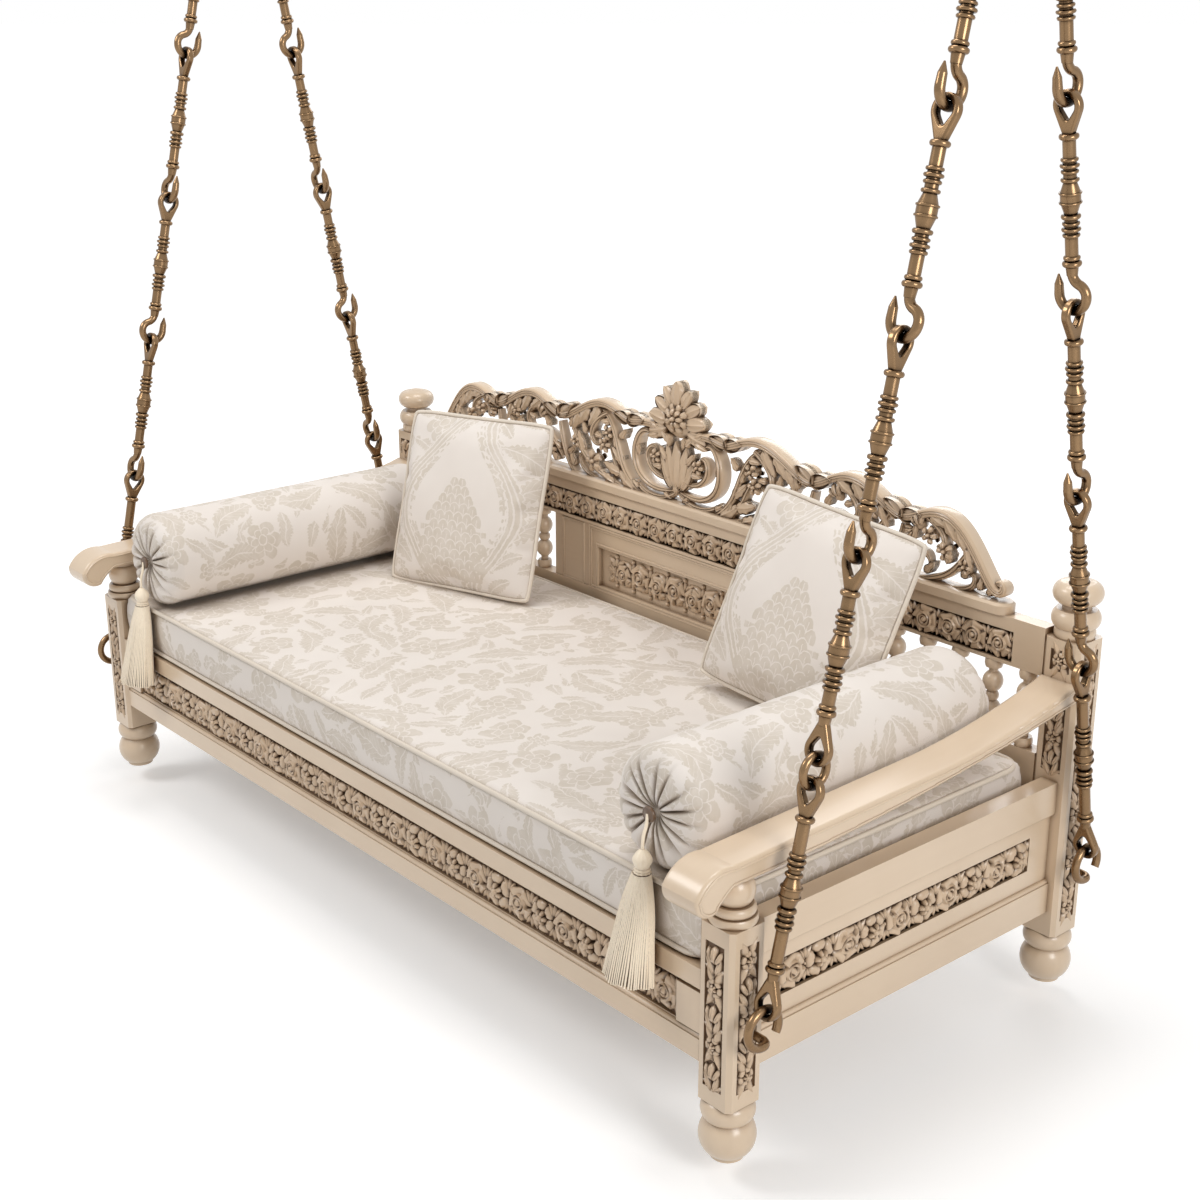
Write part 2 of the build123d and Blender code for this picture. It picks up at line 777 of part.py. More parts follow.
spindle_length = back_gap_h[1] - back_gap_h[0]
throat = 0.45 * spindle_radius
spindle_steps = [
    (spindle_pin_length, spindle_pin, spindle_pin, 0),
    (0.12 * spindle_length, 0.8 * spindle_radius, 0.8 * spindle_radius, 0.1 * spindle_radius),
    (0.06 * spindle_length, throat, throat, 0),
    (0.26 * spindle_length, throat, throat, spindle_radius - throat),
    (0.12 * spindle_length, throat, throat, 0.25 * spindle_radius),
    (0.26 * spindle_length, throat, throat, spindle_radius - throat),
    (0.06 * spindle_length, throat, throat, 0),
    (0.12 * spindle_length, 0.8 * spindle_radius, 0.8 * spindle_radius, 0.1 * spindle_radius),
    (spindle_pin_length, spindle_pin, spindle_pin, 0),
]
with BuildPart() as back_spindles:
    for x in spindle_places:
        add_turning(facing_front(x, spindle_y, back_gap_h[0] - spindle_pin_length), spindle_steps)
save(back_spindles.part, "back_spindles")

# ---------------------------------------------------------------- posts
foot_steps = [
    (foot_base_height, foot_base, foot_base, 0),
    (foot_ball_height, foot_base + 5, foot_waist, foot_ball - (foot_base + 5 + foot_waist) / 2),
    (block_h - foot_base_height - foot_ball_height, foot_waist, foot_waist, foot_collar - foot_waist),
]
neck_height = arm_under_h - front_block_top_h
neck_steps = [
    (0.17 * neck_height, neck_ring - 2, neck_ring - 2, 2),
    (0.21 * neck_height, neck_bulb - 2, neck_bulb - 2, 4),
    (0.55 * neck_height, neck_throat, neck_throat, neck_bulb - neck_throat),
    (0.07 * neck_height, neck_throat + 3, neck_throat + 3, 0),
]
finial_steps = [
    (16, finial_ring - 2, finial_ring - 2, 2),
    (30, finial_torus - 7, finial_torus - 7, 7),
    (8, finial_neck, finial_neck, 0),
    (36, finial_neck + 2, finial_neck, finial_bun - finial_neck - 1),
    (3, finial_neck, finial_neck / 2, 0),
    (2, finial_neck / 2, 0, 0),
]


def mortise(plane, rail_h):
    """A slot for a rail's tenon, cut along the plane's normal."""
    tenon_foot, tenon_height = tenon_span(rail_h)
    with BuildSketch(plane) as slot:
        with Locations((0, tenon_foot + tenon_height / 2)):
            Rectangle(tenon_thickness + joint_gap, tenon_height + joint_gap)
    extrude(slot.sketch, amount=tenon_length + 1, mode=Mode.SUBTRACT)


front_tenon_y = front_rail_y + front_tenon_setback
side_tenon_x = side_rail_x - side_tenon_setback
back_tenon_y = back_rail_y + back_tenon_setback


def field_spans(end):
    """Sunk fields up the outer face and up the front face of a post, as pairs of heights."""
    if end == FRONT:
        whole = (block_h + field_margin, front_block_top_h - field_margin)
        return [whole], [whole]
    whole = (block_h + field_margin, back_block_top_h - 17)
    return [whole], [back_low_field_h, back_high_field_h]


def field_planes(side, end):
    """Each sunk field of a post as its plane and its height."""
    outer_fields, front_fields = field_spans(end)
    planes = []
    for low, high in outer_fields:
        middle = at(side * outer_x, end * post_y, (low + high) / 2)
        planes.append((Plane(origin=middle, x_dir=(0, 1, 0), z_dir=(side, 0, 0)), high - low))
    front_face_y = end * post_y - post_size / 2
    for low, high in front_fields:
        planes.append((facing_front(side * post_x, front_face_y, (low + high) / 2), high - low))
    return planes


for side in (LEFT, RIGHT):
    for end in (FRONT, BACK):
        x, y = side * post_x, end * post_y
        block_top_h = front_block_top_h if end == FRONT else back_block_top_h
        with BuildPart() as post:
            with BuildSketch(level(x, y, block_h)) as block_section:
                Rectangle(post_size, post_size)
                chamfer(block_section.vertices(), post_bevel)
            extrude(amount=block_top_h - block_h)
            add_turning(facing_front(x, y, 0), foot_steps)
            add_turning(facing_front(x, y, block_top_h), neck_steps if end == FRONT else finial_steps)
            for plane, height in field_planes(side, end):
                with BuildSketch(plane):
                    Rectangle(field_width, height)
                extrude(amount=-field_depth, mode=Mode.SUBTRACT)
            across_rails = front_rails if end == FRONT else back_rails
            tenon_y = front_tenon_y if end == FRONT else back_tenon_y
            for rail_h, _ in across_rails.values():
                foot = at(side * inner_x, tenon_y, rail_h[0])
                mortise(Plane(origin=foot, x_dir=(0, side, 0), z_dir=(side, 0, 0)), rail_h)
            for rail_h, _ in side_rails.values():
                foot = at(side * side_tenon_x, end * inner_y, rail_h[0])
                mortise(Plane(origin=foot, x_dir=(-end, 0, 0), z_dir=(0, end, 0)), rail_h)
            hook_y = front_hook_y if end == FRONT else back_hook_y
            stem_y = hook_y + post_hook_corner
            bore_plane = Plane(
                origin=at(side * inner_x, stem_y, hook_stem_h), x_dir=(0, side, 0), z_dir=(side, 0, 0)
            )
            with BuildSketch(bore_plane):
                Circle(hook_shank + joint_gap)
            extrude(amount=post_size, mode=Mode.SUBTRACT)
            with BuildSketch(bore_plane):
                Circle(nut_pocket_radius)
            extrude(amount=nut_pocket_depth, mode=Mode.SUBTRACT)
        save(post.part, end_name[end] + "_" + side_name[side] + "_post")

with BuildPart() as post_carvings:
    for side in (LEFT, RIGHT):
        for end in (FRONT, BACK):
            hook_y = front_hook_y if end == FRONT else back_hook_y
            for plane, height in field_planes(side, end):
                with BuildSketch(plane.offset(-field_depth)):
                    Rectangle(field_width - joint_gap, height - joint_gap)
                extrude(amount=field_depth - 1)
            bore_plane = Plane(
                origin=at(side * (outer_x - field_depth), hook_y + post_hook_corner, hook_stem_h),
                x_dir=(0, side, 0),
                z_dir=(side, 0, 0),
            )
            with BuildSketch(bore_plane):
                Circle(hook_flange + joint_gap)
            extrude(amount=field_depth, mode=Mode.SUBTRACT)
save(post_carvings.part, "post_carvings")

# ---------------------------------------------------------------- crest
with BuildPart() as crest_base:
    with BuildSketch(level(0, spindle_y, back_top_rail_h[1])):
        SlotOverall(crest_base_width, crest_base_depth)
    extrude(amount=crest_base_h)
    chamfer(crest_base.edges().group_by(Axis.Z)[-1], 4)
save(crest_base.part, "crest_base")

crest_foot_h = back_top_rail_h[1] + crest_base_h
crest_turns = []
for dip, hump in zip(crest_dips, crest_humps):
    crest_turns += [dip, hump]
crest_turns.append(crest_end)


def crest_point(place):
    """A crest point given by its reach from the middle and its height above the feet."""
    return (place[0], place[1] - crest_foot_h)


def crest_outline(shrink):
    """Half of the crest's outline, drawn in by shrink."""
    drop = [(x, h - shrink) for x, h in crest_turns]
    drop[-1] = (crest_turns[-1][0] - shrink, crest_turns[-1][1])
    with BuildLine() as outline:
        top = [crest_point(place) for place in drop]
        Spline(*top)
        Polyline(top[-1], (top[-1][0], 0), (0, 0), (0, top[0][1]), top[0])
    make_face(outline.edges())


scrolls = []
for x, h in crest_humps + crest_dips[1:]:
    height = h - crest_foot_h - crest_band + 6
    scrolls.append((x, (height - 2) / 2, height / 2))

with BuildPart() as crest:
    crest_plane = facing_front(0, spindle_y + crest_thickness / 2, crest_foot_h)
    with BuildSketch(crest_plane):
        crest_outline(0)
        with Locations((crest_end[0], crest_end_radius)):
            Circle(crest_end_radius)
        mirror(about=Plane.YZ)
    extrude(amount=crest_thickness)
    with BuildSketch(crest_plane) as opening:
        crest_outline(crest_band)
        mirror(about=Plane.YZ)
        with Locations((0, crest_foot / 2)):
            Rectangle(crest_base_width, crest_foot, mode=Mode.SUBTRACT)
        with Locations(*[(sign * x, y) for x, y, _ in scrolls for sign in (-1, 1)]):
            Circle(crest_scroll_bar, mode=Mode.SUBTRACT)
        for x, y, radius in scrolls:
            for sign in (LEFT, RIGHT):
                with Locations((sign * x, y)):
                    Circle(radius, mode=Mode.SUBTRACT)
                    Circle(radius - crest_scroll_bar)
                    Circle(0.42 * radius, mode=Mode.SUBTRACT)
                    Rectangle(crest_scroll_bar, 2 * radius, mode=Mode.SUBTRACT)
    extrude(amount=crest_thickness, mode=Mode.SUBTRACT)
    with BuildSketch(crest_plane.offset((crest_thickness - crest_scroll_depth) / 2)):
        for sign in (LEFT, RIGHT):
            with Locations((sign * medallion_x, medallion_h - crest_foot_h)):
                Circle(medallion_x - 6)
                Circle(medallion_x - 6 - crest_scroll_bar, mode=Mode.SUBTRACT)
        with Locations((0, medallion_h - crest_foot_h)):
            Ellipse(0.42 * medallion_x, medallion_x)
        with Locations((0, (medallion_h - crest_foot_h) / 2)):
            Rectangle(crest_scroll_bar, medallion_h - crest_foot_h)
    extrude(amount=crest_scroll_depth)
    with BuildSketch(crest_plane):
        with BuildLine():
            leaf_points = [crest_point(step) for step in finial_leaf_steps]
            base = (leaf_points[0][0], crest_point(crest_dips[0])[1] - crest_band)
            Polyline((0, base[1]), base, *leaf_points, (0, base[1]))
        make_face()
        mirror(about=Plane.YZ)
    extrude(amount=crest_thickness)
save(crest.part, "crest")

# ---------------------------------------------------------------- arms
arm_top_h = arm_under_h + arm_thickness
arm_front_flat_y = -inner_y + 5
for side in (LEFT, RIGHT):
    with BuildPart() as arm:
        with BuildSketch(facing_side(side * post_x - arm_width / 2, 0, 0)):
            with BuildLine():
                shoulder = (-outer_y, arm_top_h)
                Line(shoulder, (0, arm_middle_top_h))
                rise = (outer_y, arm_middle_top_h - arm_top_h)
                TangentArc((0, arm_middle_top_h), (inner_y, arm_back_top_h), tangent=rise)
                Line((inner_y, arm_back_top_h), (inner_y, arm_back_top_h - arm_thickness - 1))
                TangentArc(
                    (arm_front_flat_y, arm_under_h),
                    (inner_y, arm_back_top_h - arm_thickness - 1),
                    tangent=(outer_y, 8),
                )
                Line((arm_front_flat_y, arm_under_h), (-outer_y, arm_under_h))
                nose_under = (arm_nose_y + 38, arm_nose_bottom_h + 3)
                ThreePointArc((-outer_y, arm_under_h), (-outer_y - 14, arm_under_h - 9), nose_under)
                nose_middle = (arm_nose_y, arm_nose_bottom_h + 32)
                ThreePointArc(nose_under, (arm_nose_y + 10, arm_nose_bottom_h + 7), nose_middle)
                ThreePointArc(nose_middle, (arm_nose_y + 20, arm_top_h - 8), shoulder)
            make_face()
        extrude(amount=arm_width)
        long_edges = arm.faces().filter_by(Axis.X).edges().filter_by(GeomType.LINE, reverse=True)
        fillet(long_edges, arm_edge)
    save(arm.part, side_name[side] + "_arm")

# ---------------------------------------------------------------- deck
cleat_top_h = deck_h - slat_thickness
front_cleat_y = front_rail_y + front_rail_thickness
with BuildPart() as deck_cleats:
    for y in (front_cleat_y + cleat_size / 2, back_rail_y - cleat_size / 2):
        with BuildSketch(level(0, y, cleat_top_h - cleat_size)):
            Rectangle(rail_run - 2 * cleat_size, cleat_size)
        extrude(amount=cleat_size)
save(deck_cleats.part, "deck_cleats")

slat_length = back_rail_y - front_cleat_y - 2
with BuildPart() as deck_slats:
    with BuildSketch(level(0, (back_rail_y + front_cleat_y) / 2, cleat_top_h)):
        with GridLocations(slat_pitch, 0, slat_count, 1):
            Rectangle(slat_width, slat_length)
    extrude(amount=slat_thickness)
save(deck_slats.part, "deck_slats")

# ---------------------------------------------------------------- mattress and bolsters
mattress_y = (mattress_front_y + mattress_back_y) / 2
with BuildPart() as mattress:
    with BuildSketch(level(0, mattress_y, deck_h + soft_gap)):
        RectangleRounded(mattress_width, mattress_back_y - mattress_front_y, mattress_corner)
    extrude(amount=mattress_thickness)
    rims = mattress.edges().group_by(Axis.Z)
    fillet(rims[0] + rims[-1], mattress_edge)
save(mattress.part, "mattress")


def bend_radii(points):
    """A radius for each corner of a cord, as large as the runs beside it allow."""
    runs = [Vector(*end) - Vector(*start) for start, end in zip(points, points[1:])]
    radii = []
    for before, after in zip(runs, runs[1:]):
        half_turn = radians(before.get_angle(after)) / 2
        radii.append(0.45 * min(before.length, after.length) / tan(half_turn))
    return radii


for side in (LEFT, RIGHT):
    bolster_centre = side * bolster_x
    with BuildPart() as bolster:
        with BuildSketch(facing_front(bolster_centre, bolster_back_y, bolster_h)):
            Circle(bolster_radius)
        extrude(amount=bolster_back_y - bolster_front_y)
        fillet(bolster.edges().filter_by(GeomType.CIRCLE), bolster_edge)
    save(bolster.part, side_name[side] + "_bolster")

    with BuildPart() as button:
        with BuildSketch(facing_front(bolster_centre, bolster_front_y - soft_gap, bolster_h)):
            Circle(button_radius)
        extrude(amount=button_thickness)
        fillet(button.edges().group_by(Axis.Y)[0], button_thickness / 2)
    save(button.part, side_name[side] + "_bolster_button")

    # The tassel: a cord from under the button, a wrapped head and a long skirt of threads.
    head_top_h = tassel_head_h + tassel_head_length / 2
    button_y = bolster_front_y - soft_gap - button_thickness
    cord_x = bolster_centre
    cord_points = [
        at(cord_x, button_y - tassel_cord_radius - soft_gap, bolster_h + 2),
        at(cord_x + 2, button_y - tassel_cord_radius - 3, bolster_h - 14),
        at(cord_x, tassel_head_y, bolster_h - 30),
        at(cord_x, tassel_head_y, head_top_h),
    ]
    cord_radii = bend_radii(cord_points)
    print(side_name[side] + "_tassel_cord radii", cord_radii)
    with BuildPart() as tassel_cord:
        with BuildLine() as route:
            FilletPolyline(*cord_points, radius=cord_radii)
        with BuildSketch(Plane(origin=route.line @ 0, z_dir=route.line % 0)):
            Circle(tassel_cord_radius)
        sweep()
    save(tassel_cord.part, side_name[side] + "_tassel_cord")

    skirt_top_h = tassel_head_h - tassel_head_length / 2
    with BuildPart() as tassel:
        head_steps = [(tassel_head_length, 5, 8, tassel_head_radius - 6.5)]
        add_turning(facing_front(cord_x, tassel_head_y, skirt_top_h), head_steps)
        with BuildSketch(level(cord_x, tassel_head_y, skirt_top_h + 2)):
            Ellipse(*tassel_skirt_top)
        with BuildSketch(level(cord_x, *tassel_skirt_bottom)):
            Ellipse(*tassel_skirt_foot)
        loft()
    save(tassel.part, side_name[side] + "_tassel")


# ---------------------------------------------------------------- cushions
def make_cushion(foot, turn, lean, roll):
    """A square pillow standing on its lower edge at foot, turned about Z, leaning back."""
    width_dir = Vector(cos(radians(turn)), sin(radians(turn)), 0)
    back_dir = Vector(-width_dir.Y, width_dir.X, 0)
    up_dir = Vector(0, 0, 1) * cos(radians(lean)) + back_dir * sin(radians(lean))
    across = width_dir * cos(radians(roll)) + up_dir * sin(radians(roll))
    normal = width_dir.cross(up_dir)
    upright = normal.cross(across)
    half = cushion_size / 2
    straight = half - cushion_corner
    reach_down = straight * (abs(sin(radians(roll))) + cos(radians(roll))) + cushion_corner
    foot_rise = (reach_down - half * cos(radians(roll))) * cos(radians(lean))
    foot_point = Vector(*at(foot[0], foot[1], mattress_top_h + soft_gap + foot_rise))
    centre = foot_point + upright * half
    with BuildPart() as cushion:
        with BuildSketch(Plane(origin=centre, x_dir=across, z_dir=normal)):
            RectangleRounded(cushion_size, cushion_size, cushion_corner)
        extrude(amount=cushion_thickness / 2, both=True, taper=cushion_slope)
    return cushion.part


left_cushion = make_cushion(
    left_cushion_foot, left_cushion_turn, left_cushion_lean, left_cushion_roll
)
save(left_cushion, "left_cushion")
right_cushion = make_cushion(
    right_cushion_foot, right_cushion_turn, right_cushion_lean, right_cushion_roll
)
save(right_cushion, "right_cushion")
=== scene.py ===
import bpy
import bmesh
from math import atan2, cos, pi, radians, sin, sqrt
from mathutils import Matrix, Vector, noise


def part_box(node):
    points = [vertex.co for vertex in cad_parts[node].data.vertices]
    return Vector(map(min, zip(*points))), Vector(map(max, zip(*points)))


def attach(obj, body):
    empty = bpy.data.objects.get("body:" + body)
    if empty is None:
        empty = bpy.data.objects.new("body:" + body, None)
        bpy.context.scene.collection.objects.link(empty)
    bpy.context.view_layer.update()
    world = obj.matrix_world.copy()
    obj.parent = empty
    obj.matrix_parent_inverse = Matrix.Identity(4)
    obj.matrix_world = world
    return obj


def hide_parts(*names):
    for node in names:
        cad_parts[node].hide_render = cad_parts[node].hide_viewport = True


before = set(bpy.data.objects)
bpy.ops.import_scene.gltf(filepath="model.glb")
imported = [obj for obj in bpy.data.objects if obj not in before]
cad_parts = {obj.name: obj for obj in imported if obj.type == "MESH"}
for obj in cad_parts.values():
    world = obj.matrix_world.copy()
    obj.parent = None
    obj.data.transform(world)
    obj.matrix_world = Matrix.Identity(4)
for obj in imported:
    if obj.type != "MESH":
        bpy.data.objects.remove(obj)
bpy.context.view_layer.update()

# The jhoola hangs from the ceiling at z = 0. Lengths are metres, unless a line says millimetres.
FOOT_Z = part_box("front_left_post")[0].z
SEAT_Y = (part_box("front_left_post")[0].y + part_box("back_left_post")[1].y) / 2


def at(x, y, h):
    """A point by its place on the seat, in millimetres: across, back, and up from the feet."""
    return Vector((x / 1000, SEAT_Y + y / 1000, FOOT_Z + h / 1000))


def srgb(r, g, b):
    """A paint-shop colour as Blender's own numbers."""
    out = []
    for c in (r / 255, g / 255, b / 255):
        out.append(c / 12.92 if c < 0.04045 else ((c + 0.055) / 1.055) ** 2.4)
    return (*out, 1.0)


# ---- camera
bpy.ops.object.camera_add(
    location=(2.3914, SEAT_Y - 1.8997, FOOT_Z + 1.5713),
    rotation=(pi / 2 - 0.33486, 0, 0.8613),
)
viewpoint = bpy.context.object
viewpoint.name = "viewpoint"
viewpoint.data.lens = 53.995
viewpoint.data.sensor_width = 36
viewpoint.data.clip_end = 60
bpy.context.scene.camera = viewpoint
bpy.context.scene.view_settings.view_transform = "Standard"


# ---- workshop habits
def nothing_selected():
    """Leaves edit mode with nothing picked."""
    if bpy.context.object and bpy.context.object.mode != "OBJECT":
        leave()
    bpy.ops.object.select_all(action="DESELECT")


def pick(*things):
    """Selects these objects alone; the first is active."""
    nothing_selected()
    for thing in things:
        thing.select_set(True)
    bpy.context.view_layer.objects.active = things[0]


def settle(thing, name):
    """Puts a piece's place into its mesh, names it and leaves its object at the origin."""
    pick(thing)
    bpy.ops.object.transform_apply(location=True, rotation=True, scale=True)
    thing.name = name
    thing.data.name = name
    return thing


def cut(thing, kind, **settings):
    """Adds one modifier and applies it."""
    pick(thing)
    tool = thing.modifiers.new(kind.lower(), kind)
    for key, value in settings.items():
        setattr(tool, key, value)
    bpy.ops.object.modifier_apply(modifier=tool.name)


def smooth(thing, angle):
    pick(thing)
    bpy.ops.object.shade_smooth_by_angle(angle=radians(angle))


def span_of(spots):
    """The low and the high corner of the box round some points."""
    return [Vector([most(spot[k] for spot in spots) for k in range(3)]) for most in (min, max)]


def edit_all(thing):
    """Edit mode with every vertex picked."""
    pick(thing)
    bpy.ops.object.mode_set(mode="EDIT")
    bpy.ops.mesh.select_all(action="SELECT")


def leave():
    bpy.ops.object.mode_set(mode="OBJECT")


def placed(name, mesh):
    """An object that shows a mesh."""
    thing = bpy.data.objects.new(name, mesh)
    bpy.context.scene.collection.objects.link(thing)
    return thing


def only_mesh(thing):
    """A copy of an object's mesh; the object goes."""
    mesh = thing.data.copy()
    bpy.data.objects.remove(thing)
    return mesh


def new_line():
    """An empty curve."""
    bpy.ops.curve.primitive_nurbs_path_add()
    line = bpy.context.object
    line.data.splines.clear()
    return line


def run_of(line, points, order=3, closed=False):
    """One smooth run through points, each with its own width if it has a fourth number."""
    run = line.data.splines.new("NURBS")
    run.points.add(len(points) - 1)
    for spot, point in zip(run.points, points):
        spot.co = (*point[:3], 1.0)
        if len(point) > 3:
            spot.radius = point[3]
    run.order_u = order
    run.use_cyclic_u = closed
    run.use_endpoint_u = not closed
    return run


def round_section(line, radius, resolution, caps=True):
    line.data.dimensions = "3D"
    line.data.bevel_depth = radius
    line.data.bevel_resolution = resolution
    line.data.use_fill_caps = caps


def as_mesh(line, name):
    """Turns a curve into a finished mesh object at the origin."""
    pick(line)
    bpy.ops.object.convert(target="MESH")
    return settle(bpy.context.object, name)


def finish(thing, name, body, material, replaces=()):
    """Name, material and body of a finished piece; hides the CAD parts that it replaces."""
    thing.name = name
    thing.data.name = name
    thing.data.materials.clear()
    thing.data.materials.append(material)
    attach(thing, body)
    if replaces:
        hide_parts(*replaces)
    return thing


# ---- materials
class Wire:
    """A number running through a material's nodes, so that a pattern can be written as a sum."""

    def __init__(self, tree, socket):
        self.tree = tree
        self.socket = socket

    def math(self, operation, *others, clamp=False):
        node = self.tree.nodes.new("ShaderNodeMath")
        node.operation = operation
        node.use_clamp = clamp
        for place, value in enumerate((self, *others)):
            if isinstance(value, Wire):
                self.tree.links.new(value.socket, node.inputs[place])
            else:
                node.inputs[place].default_value = value
        return Wire(self.tree, node.outputs[0])

    def __add__(self, other):
        return self.math("ADD", other)

    def __sub__(self, other):
        return self.math("SUBTRACT", other)

    def __rsub__(self, other):
        return self * -1.0 + other

    def __mul__(self, other):
        return self.math("MULTIPLY", other)

    def __truediv__(self, other):
        return self.math("DIVIDE", other)

    def flip(self):
        """One minus this."""
        return (self * -1.0) + 1.0

    def abs(self):
        return self.math("ABSOLUTE")

    def held(self):
        """Kept between 0 and 1."""
        return self.math("ADD", 0.0, clamp=True)

    def over(self, other, edge):
        """Nearly 1 where this is more than other, nearly 0 where less, soft across the edge."""
        return ((self - other) / edge + 0.5).held()

    both = __mul__

    def either(self, other):
        return self.math("MAXIMUM", other)


def new_material(name):
    material = bpy.data.materials.new(name)
    material.use_nodes = True
    tree = material.node_tree
    shader = tree.nodes["Principled BSDF"]
    return material, tree, shader


def node(tree, kind, **settings):
    made = tree.nodes.new(kind)
    for key, value in settings.items():
        setattr(made, key, value)
    return made


def mixed(tree, share, low, high):
    """A colour between two colours; share is a Wire."""
    mixer = node(tree, "ShaderNodeMix", data_type="RGBA")
    tree.links.new(share.socket, mixer.inputs["Factor"])
    for value, name in ((low, "A"), (high, "B")):
        socket = [s for s in mixer.inputs if s.name == name and s.type == "RGBA"][0]
        if isinstance(value, tuple):
            socket.default_value = value
        else:
            tree.links.new(value, socket)
    return [s for s in mixer.outputs if s.type == "RGBA"][0]


def noise_wire(tree, vector, scale, detail, rough, stretch=None):
    if stretch is not None:
        mapping = node(tree, "ShaderNodeMapping")
        mapping.inputs["Scale"].default_value = stretch
        tree.links.new(vector, mapping.inputs["Vector"])
        vector = mapping.outputs["Vector"]
    field = node(tree, "ShaderNodeTexNoise")
    field.inputs["Scale"].default_value = scale
    field.inputs["Detail"].default_value = detail
    field.inputs["Roughness"].default_value = rough
    tree.links.new(vector, field.inputs["Vector"])
    return Wire(tree, field.outputs["Fac"])


def object_place(tree):
    """Where a point lies in its object's own axes."""
    return node(tree, "ShaderNodeTexCoord").outputs["Object"]


def parts_of(tree, vector, kind="ShaderNodeSeparateXYZ", count=2):
    """The first numbers of a vector or a colour, as Wires."""
    split = node(tree, kind)
    tree.links.new(vector, split.inputs[0])
    return [Wire(tree, split.outputs[k]) for k in range(count)]


def dress(tree, shader, tone, rough):
    """Colour and roughness of a material; rough is a number or a Wire."""
    tree.links.new(tone, shader.inputs["Base Color"])
    if isinstance(rough, Wire):
        tree.links.new(rough.socket, shader.inputs["Roughness"])
    else:
        shader.inputs["Roughness"].default_value = rough


def crevice(tree, distance, samples=6):
    """How open the surface is: 1 in the open, lower in corners and under edges."""
    shade = node(tree, "ShaderNodeAmbientOcclusion", samples=samples)
    shade.inputs["Distance"].default_value = distance
    return Wire(tree, shade.outputs["AO"])


def bumped(tree, shader, height, strength, distance):
    bump = node(tree, "ShaderNodeBump")
    bump.inputs["Strength"].default_value = strength
    bump.inputs["Distance"].default_value = distance
    tree.links.new(height.socket, bump.inputs["Height"])
    tree.links.new(bump.outputs["Normal"], shader.inputs["Normal"])


def make_wood(name, along):
    """Cream lacquer rubbed thin over fine-grained wood; along is the grain's stretch."""
    material, tree, shader = new_material(name)
    place = object_place(tree)
    grain = noise_wire(tree, place, 90.0, 4.0, 0.6, along)
    cloud = noise_wire(tree, place, 5.0, 3.0, 0.5)
    open_air = crevice(tree, 0.012)
    body = mixed(tree, (cloud * 0.9 + grain * 0.25 - 0.08).held(),
                 srgb(206, 181, 152), srgb(226, 204, 177))
    # Painted shade: the lacquer turns brown where the surface is closed in, in corners, recesses and under
    # edges.
    painted_corner_shade = ((open_air - 0.30) / 0.6).held()
    dress(tree, shader, mixed(tree, painted_corner_shade, srgb(132, 103, 75), body), grain * 0.05 + 0.33)
    shader.inputs["Coat Weight"].default_value = 0.5
    shader.inputs["Coat Roughness"].default_value = 0.20
    bumped(tree, shader, grain, 0.03, 0.0005)
    return material


wood_x = make_wood("cream_wood_along_x", (0.05, 1.0, 1.0))
wood_y = make_wood("cream_wood_along_y", (1.0, 0.05, 1.0))
wood_z = make_wood("cream_wood_upright", (1.0, 1.0, 0.05))


def make_carved():
    """Carved wood: pale where the surface is open, with painted shade darkening it to brown in the hollows
    and under edges.
    """
    material, tree, shader = new_material("carved_cream_wood")
    place = object_place(tree)
    fine = noise_wire(tree, place, 160.0, 4.0, 0.6)
    cloud = noise_wire(tree, place, 14.0, 2.0, 0.5)
    open_air = crevice(tree, 0.009, 8)
    # Painted shade: share falls where the surface is closed in, and the dark brown stands for the shade in
    # the hollows.
    share = ((open_air - 0.34) / 0.52 + fine * 0.12 - 0.06).held()
    high = mixed(tree, cloud, srgb(196, 168, 137), srgb(216, 190, 160))
    dress(tree, shader, mixed(tree, share, srgb(78, 53, 34), high), fine * 0.10 + 0.32)
    shader.inputs["Coat Weight"].default_value = 0.4
    shader.inputs["Coat Roughness"].default_value = 0.22
    bumped(tree, shader, fine, 0.15, 0.0006)
    return material


carved = make_carved()


def make_gap_shade():
    """The sunk ground between carved motifs, painted dark brown as the shade deep between them."""
    material, tree, shader = new_material("painted_gap_shade")
    place = object_place(tree)
    fine = noise_wire(tree, place, 220.0, 3.0, 0.6)
    # Painted shade: the board is brown so that the gaps between motifs read as deep and shaded.
    dress(tree, shader, mixed(tree, fine, srgb(72, 50, 33), srgb(122, 94, 68)), 0.6)
    return material


gap_shade = make_gap_shade()


def make_brass():
    """Antique brass: rubbed bright on the beads, brown in the hollows and in patches; the brown is partly
    real patina and partly painted shade and painted dark reflection.
    """
    material, tree, shader = new_material("antique_brass")
    place = object_place(tree)
    cloud = noise_wire(tree, place, 60.0, 4.0, 0.6)
    fine = noise_wire(tree, place, 420.0, 2.0, 0.5)
    open_air = crevice(tree, 0.016, 8)
    # Patina and painted shade: share darkens where the surface is closed in and in noisy patches, partly
    # real patina, partly painted shade and dark reflections.
    share = ((open_air - 0.46) / 0.48 + cloud * 0.7 - 0.40).held()
    tone = mixed(tree, share, srgb(26, 16, 8), srgb(134, 108, 80))
    dress(tree, shader, tone, cloud * 0.20 + 0.16)
    shader.inputs["Metallic"].default_value = 1.0
    bumped(tree, shader, fine, 0.05, 0.0004)
    return material


brass = make_brass()


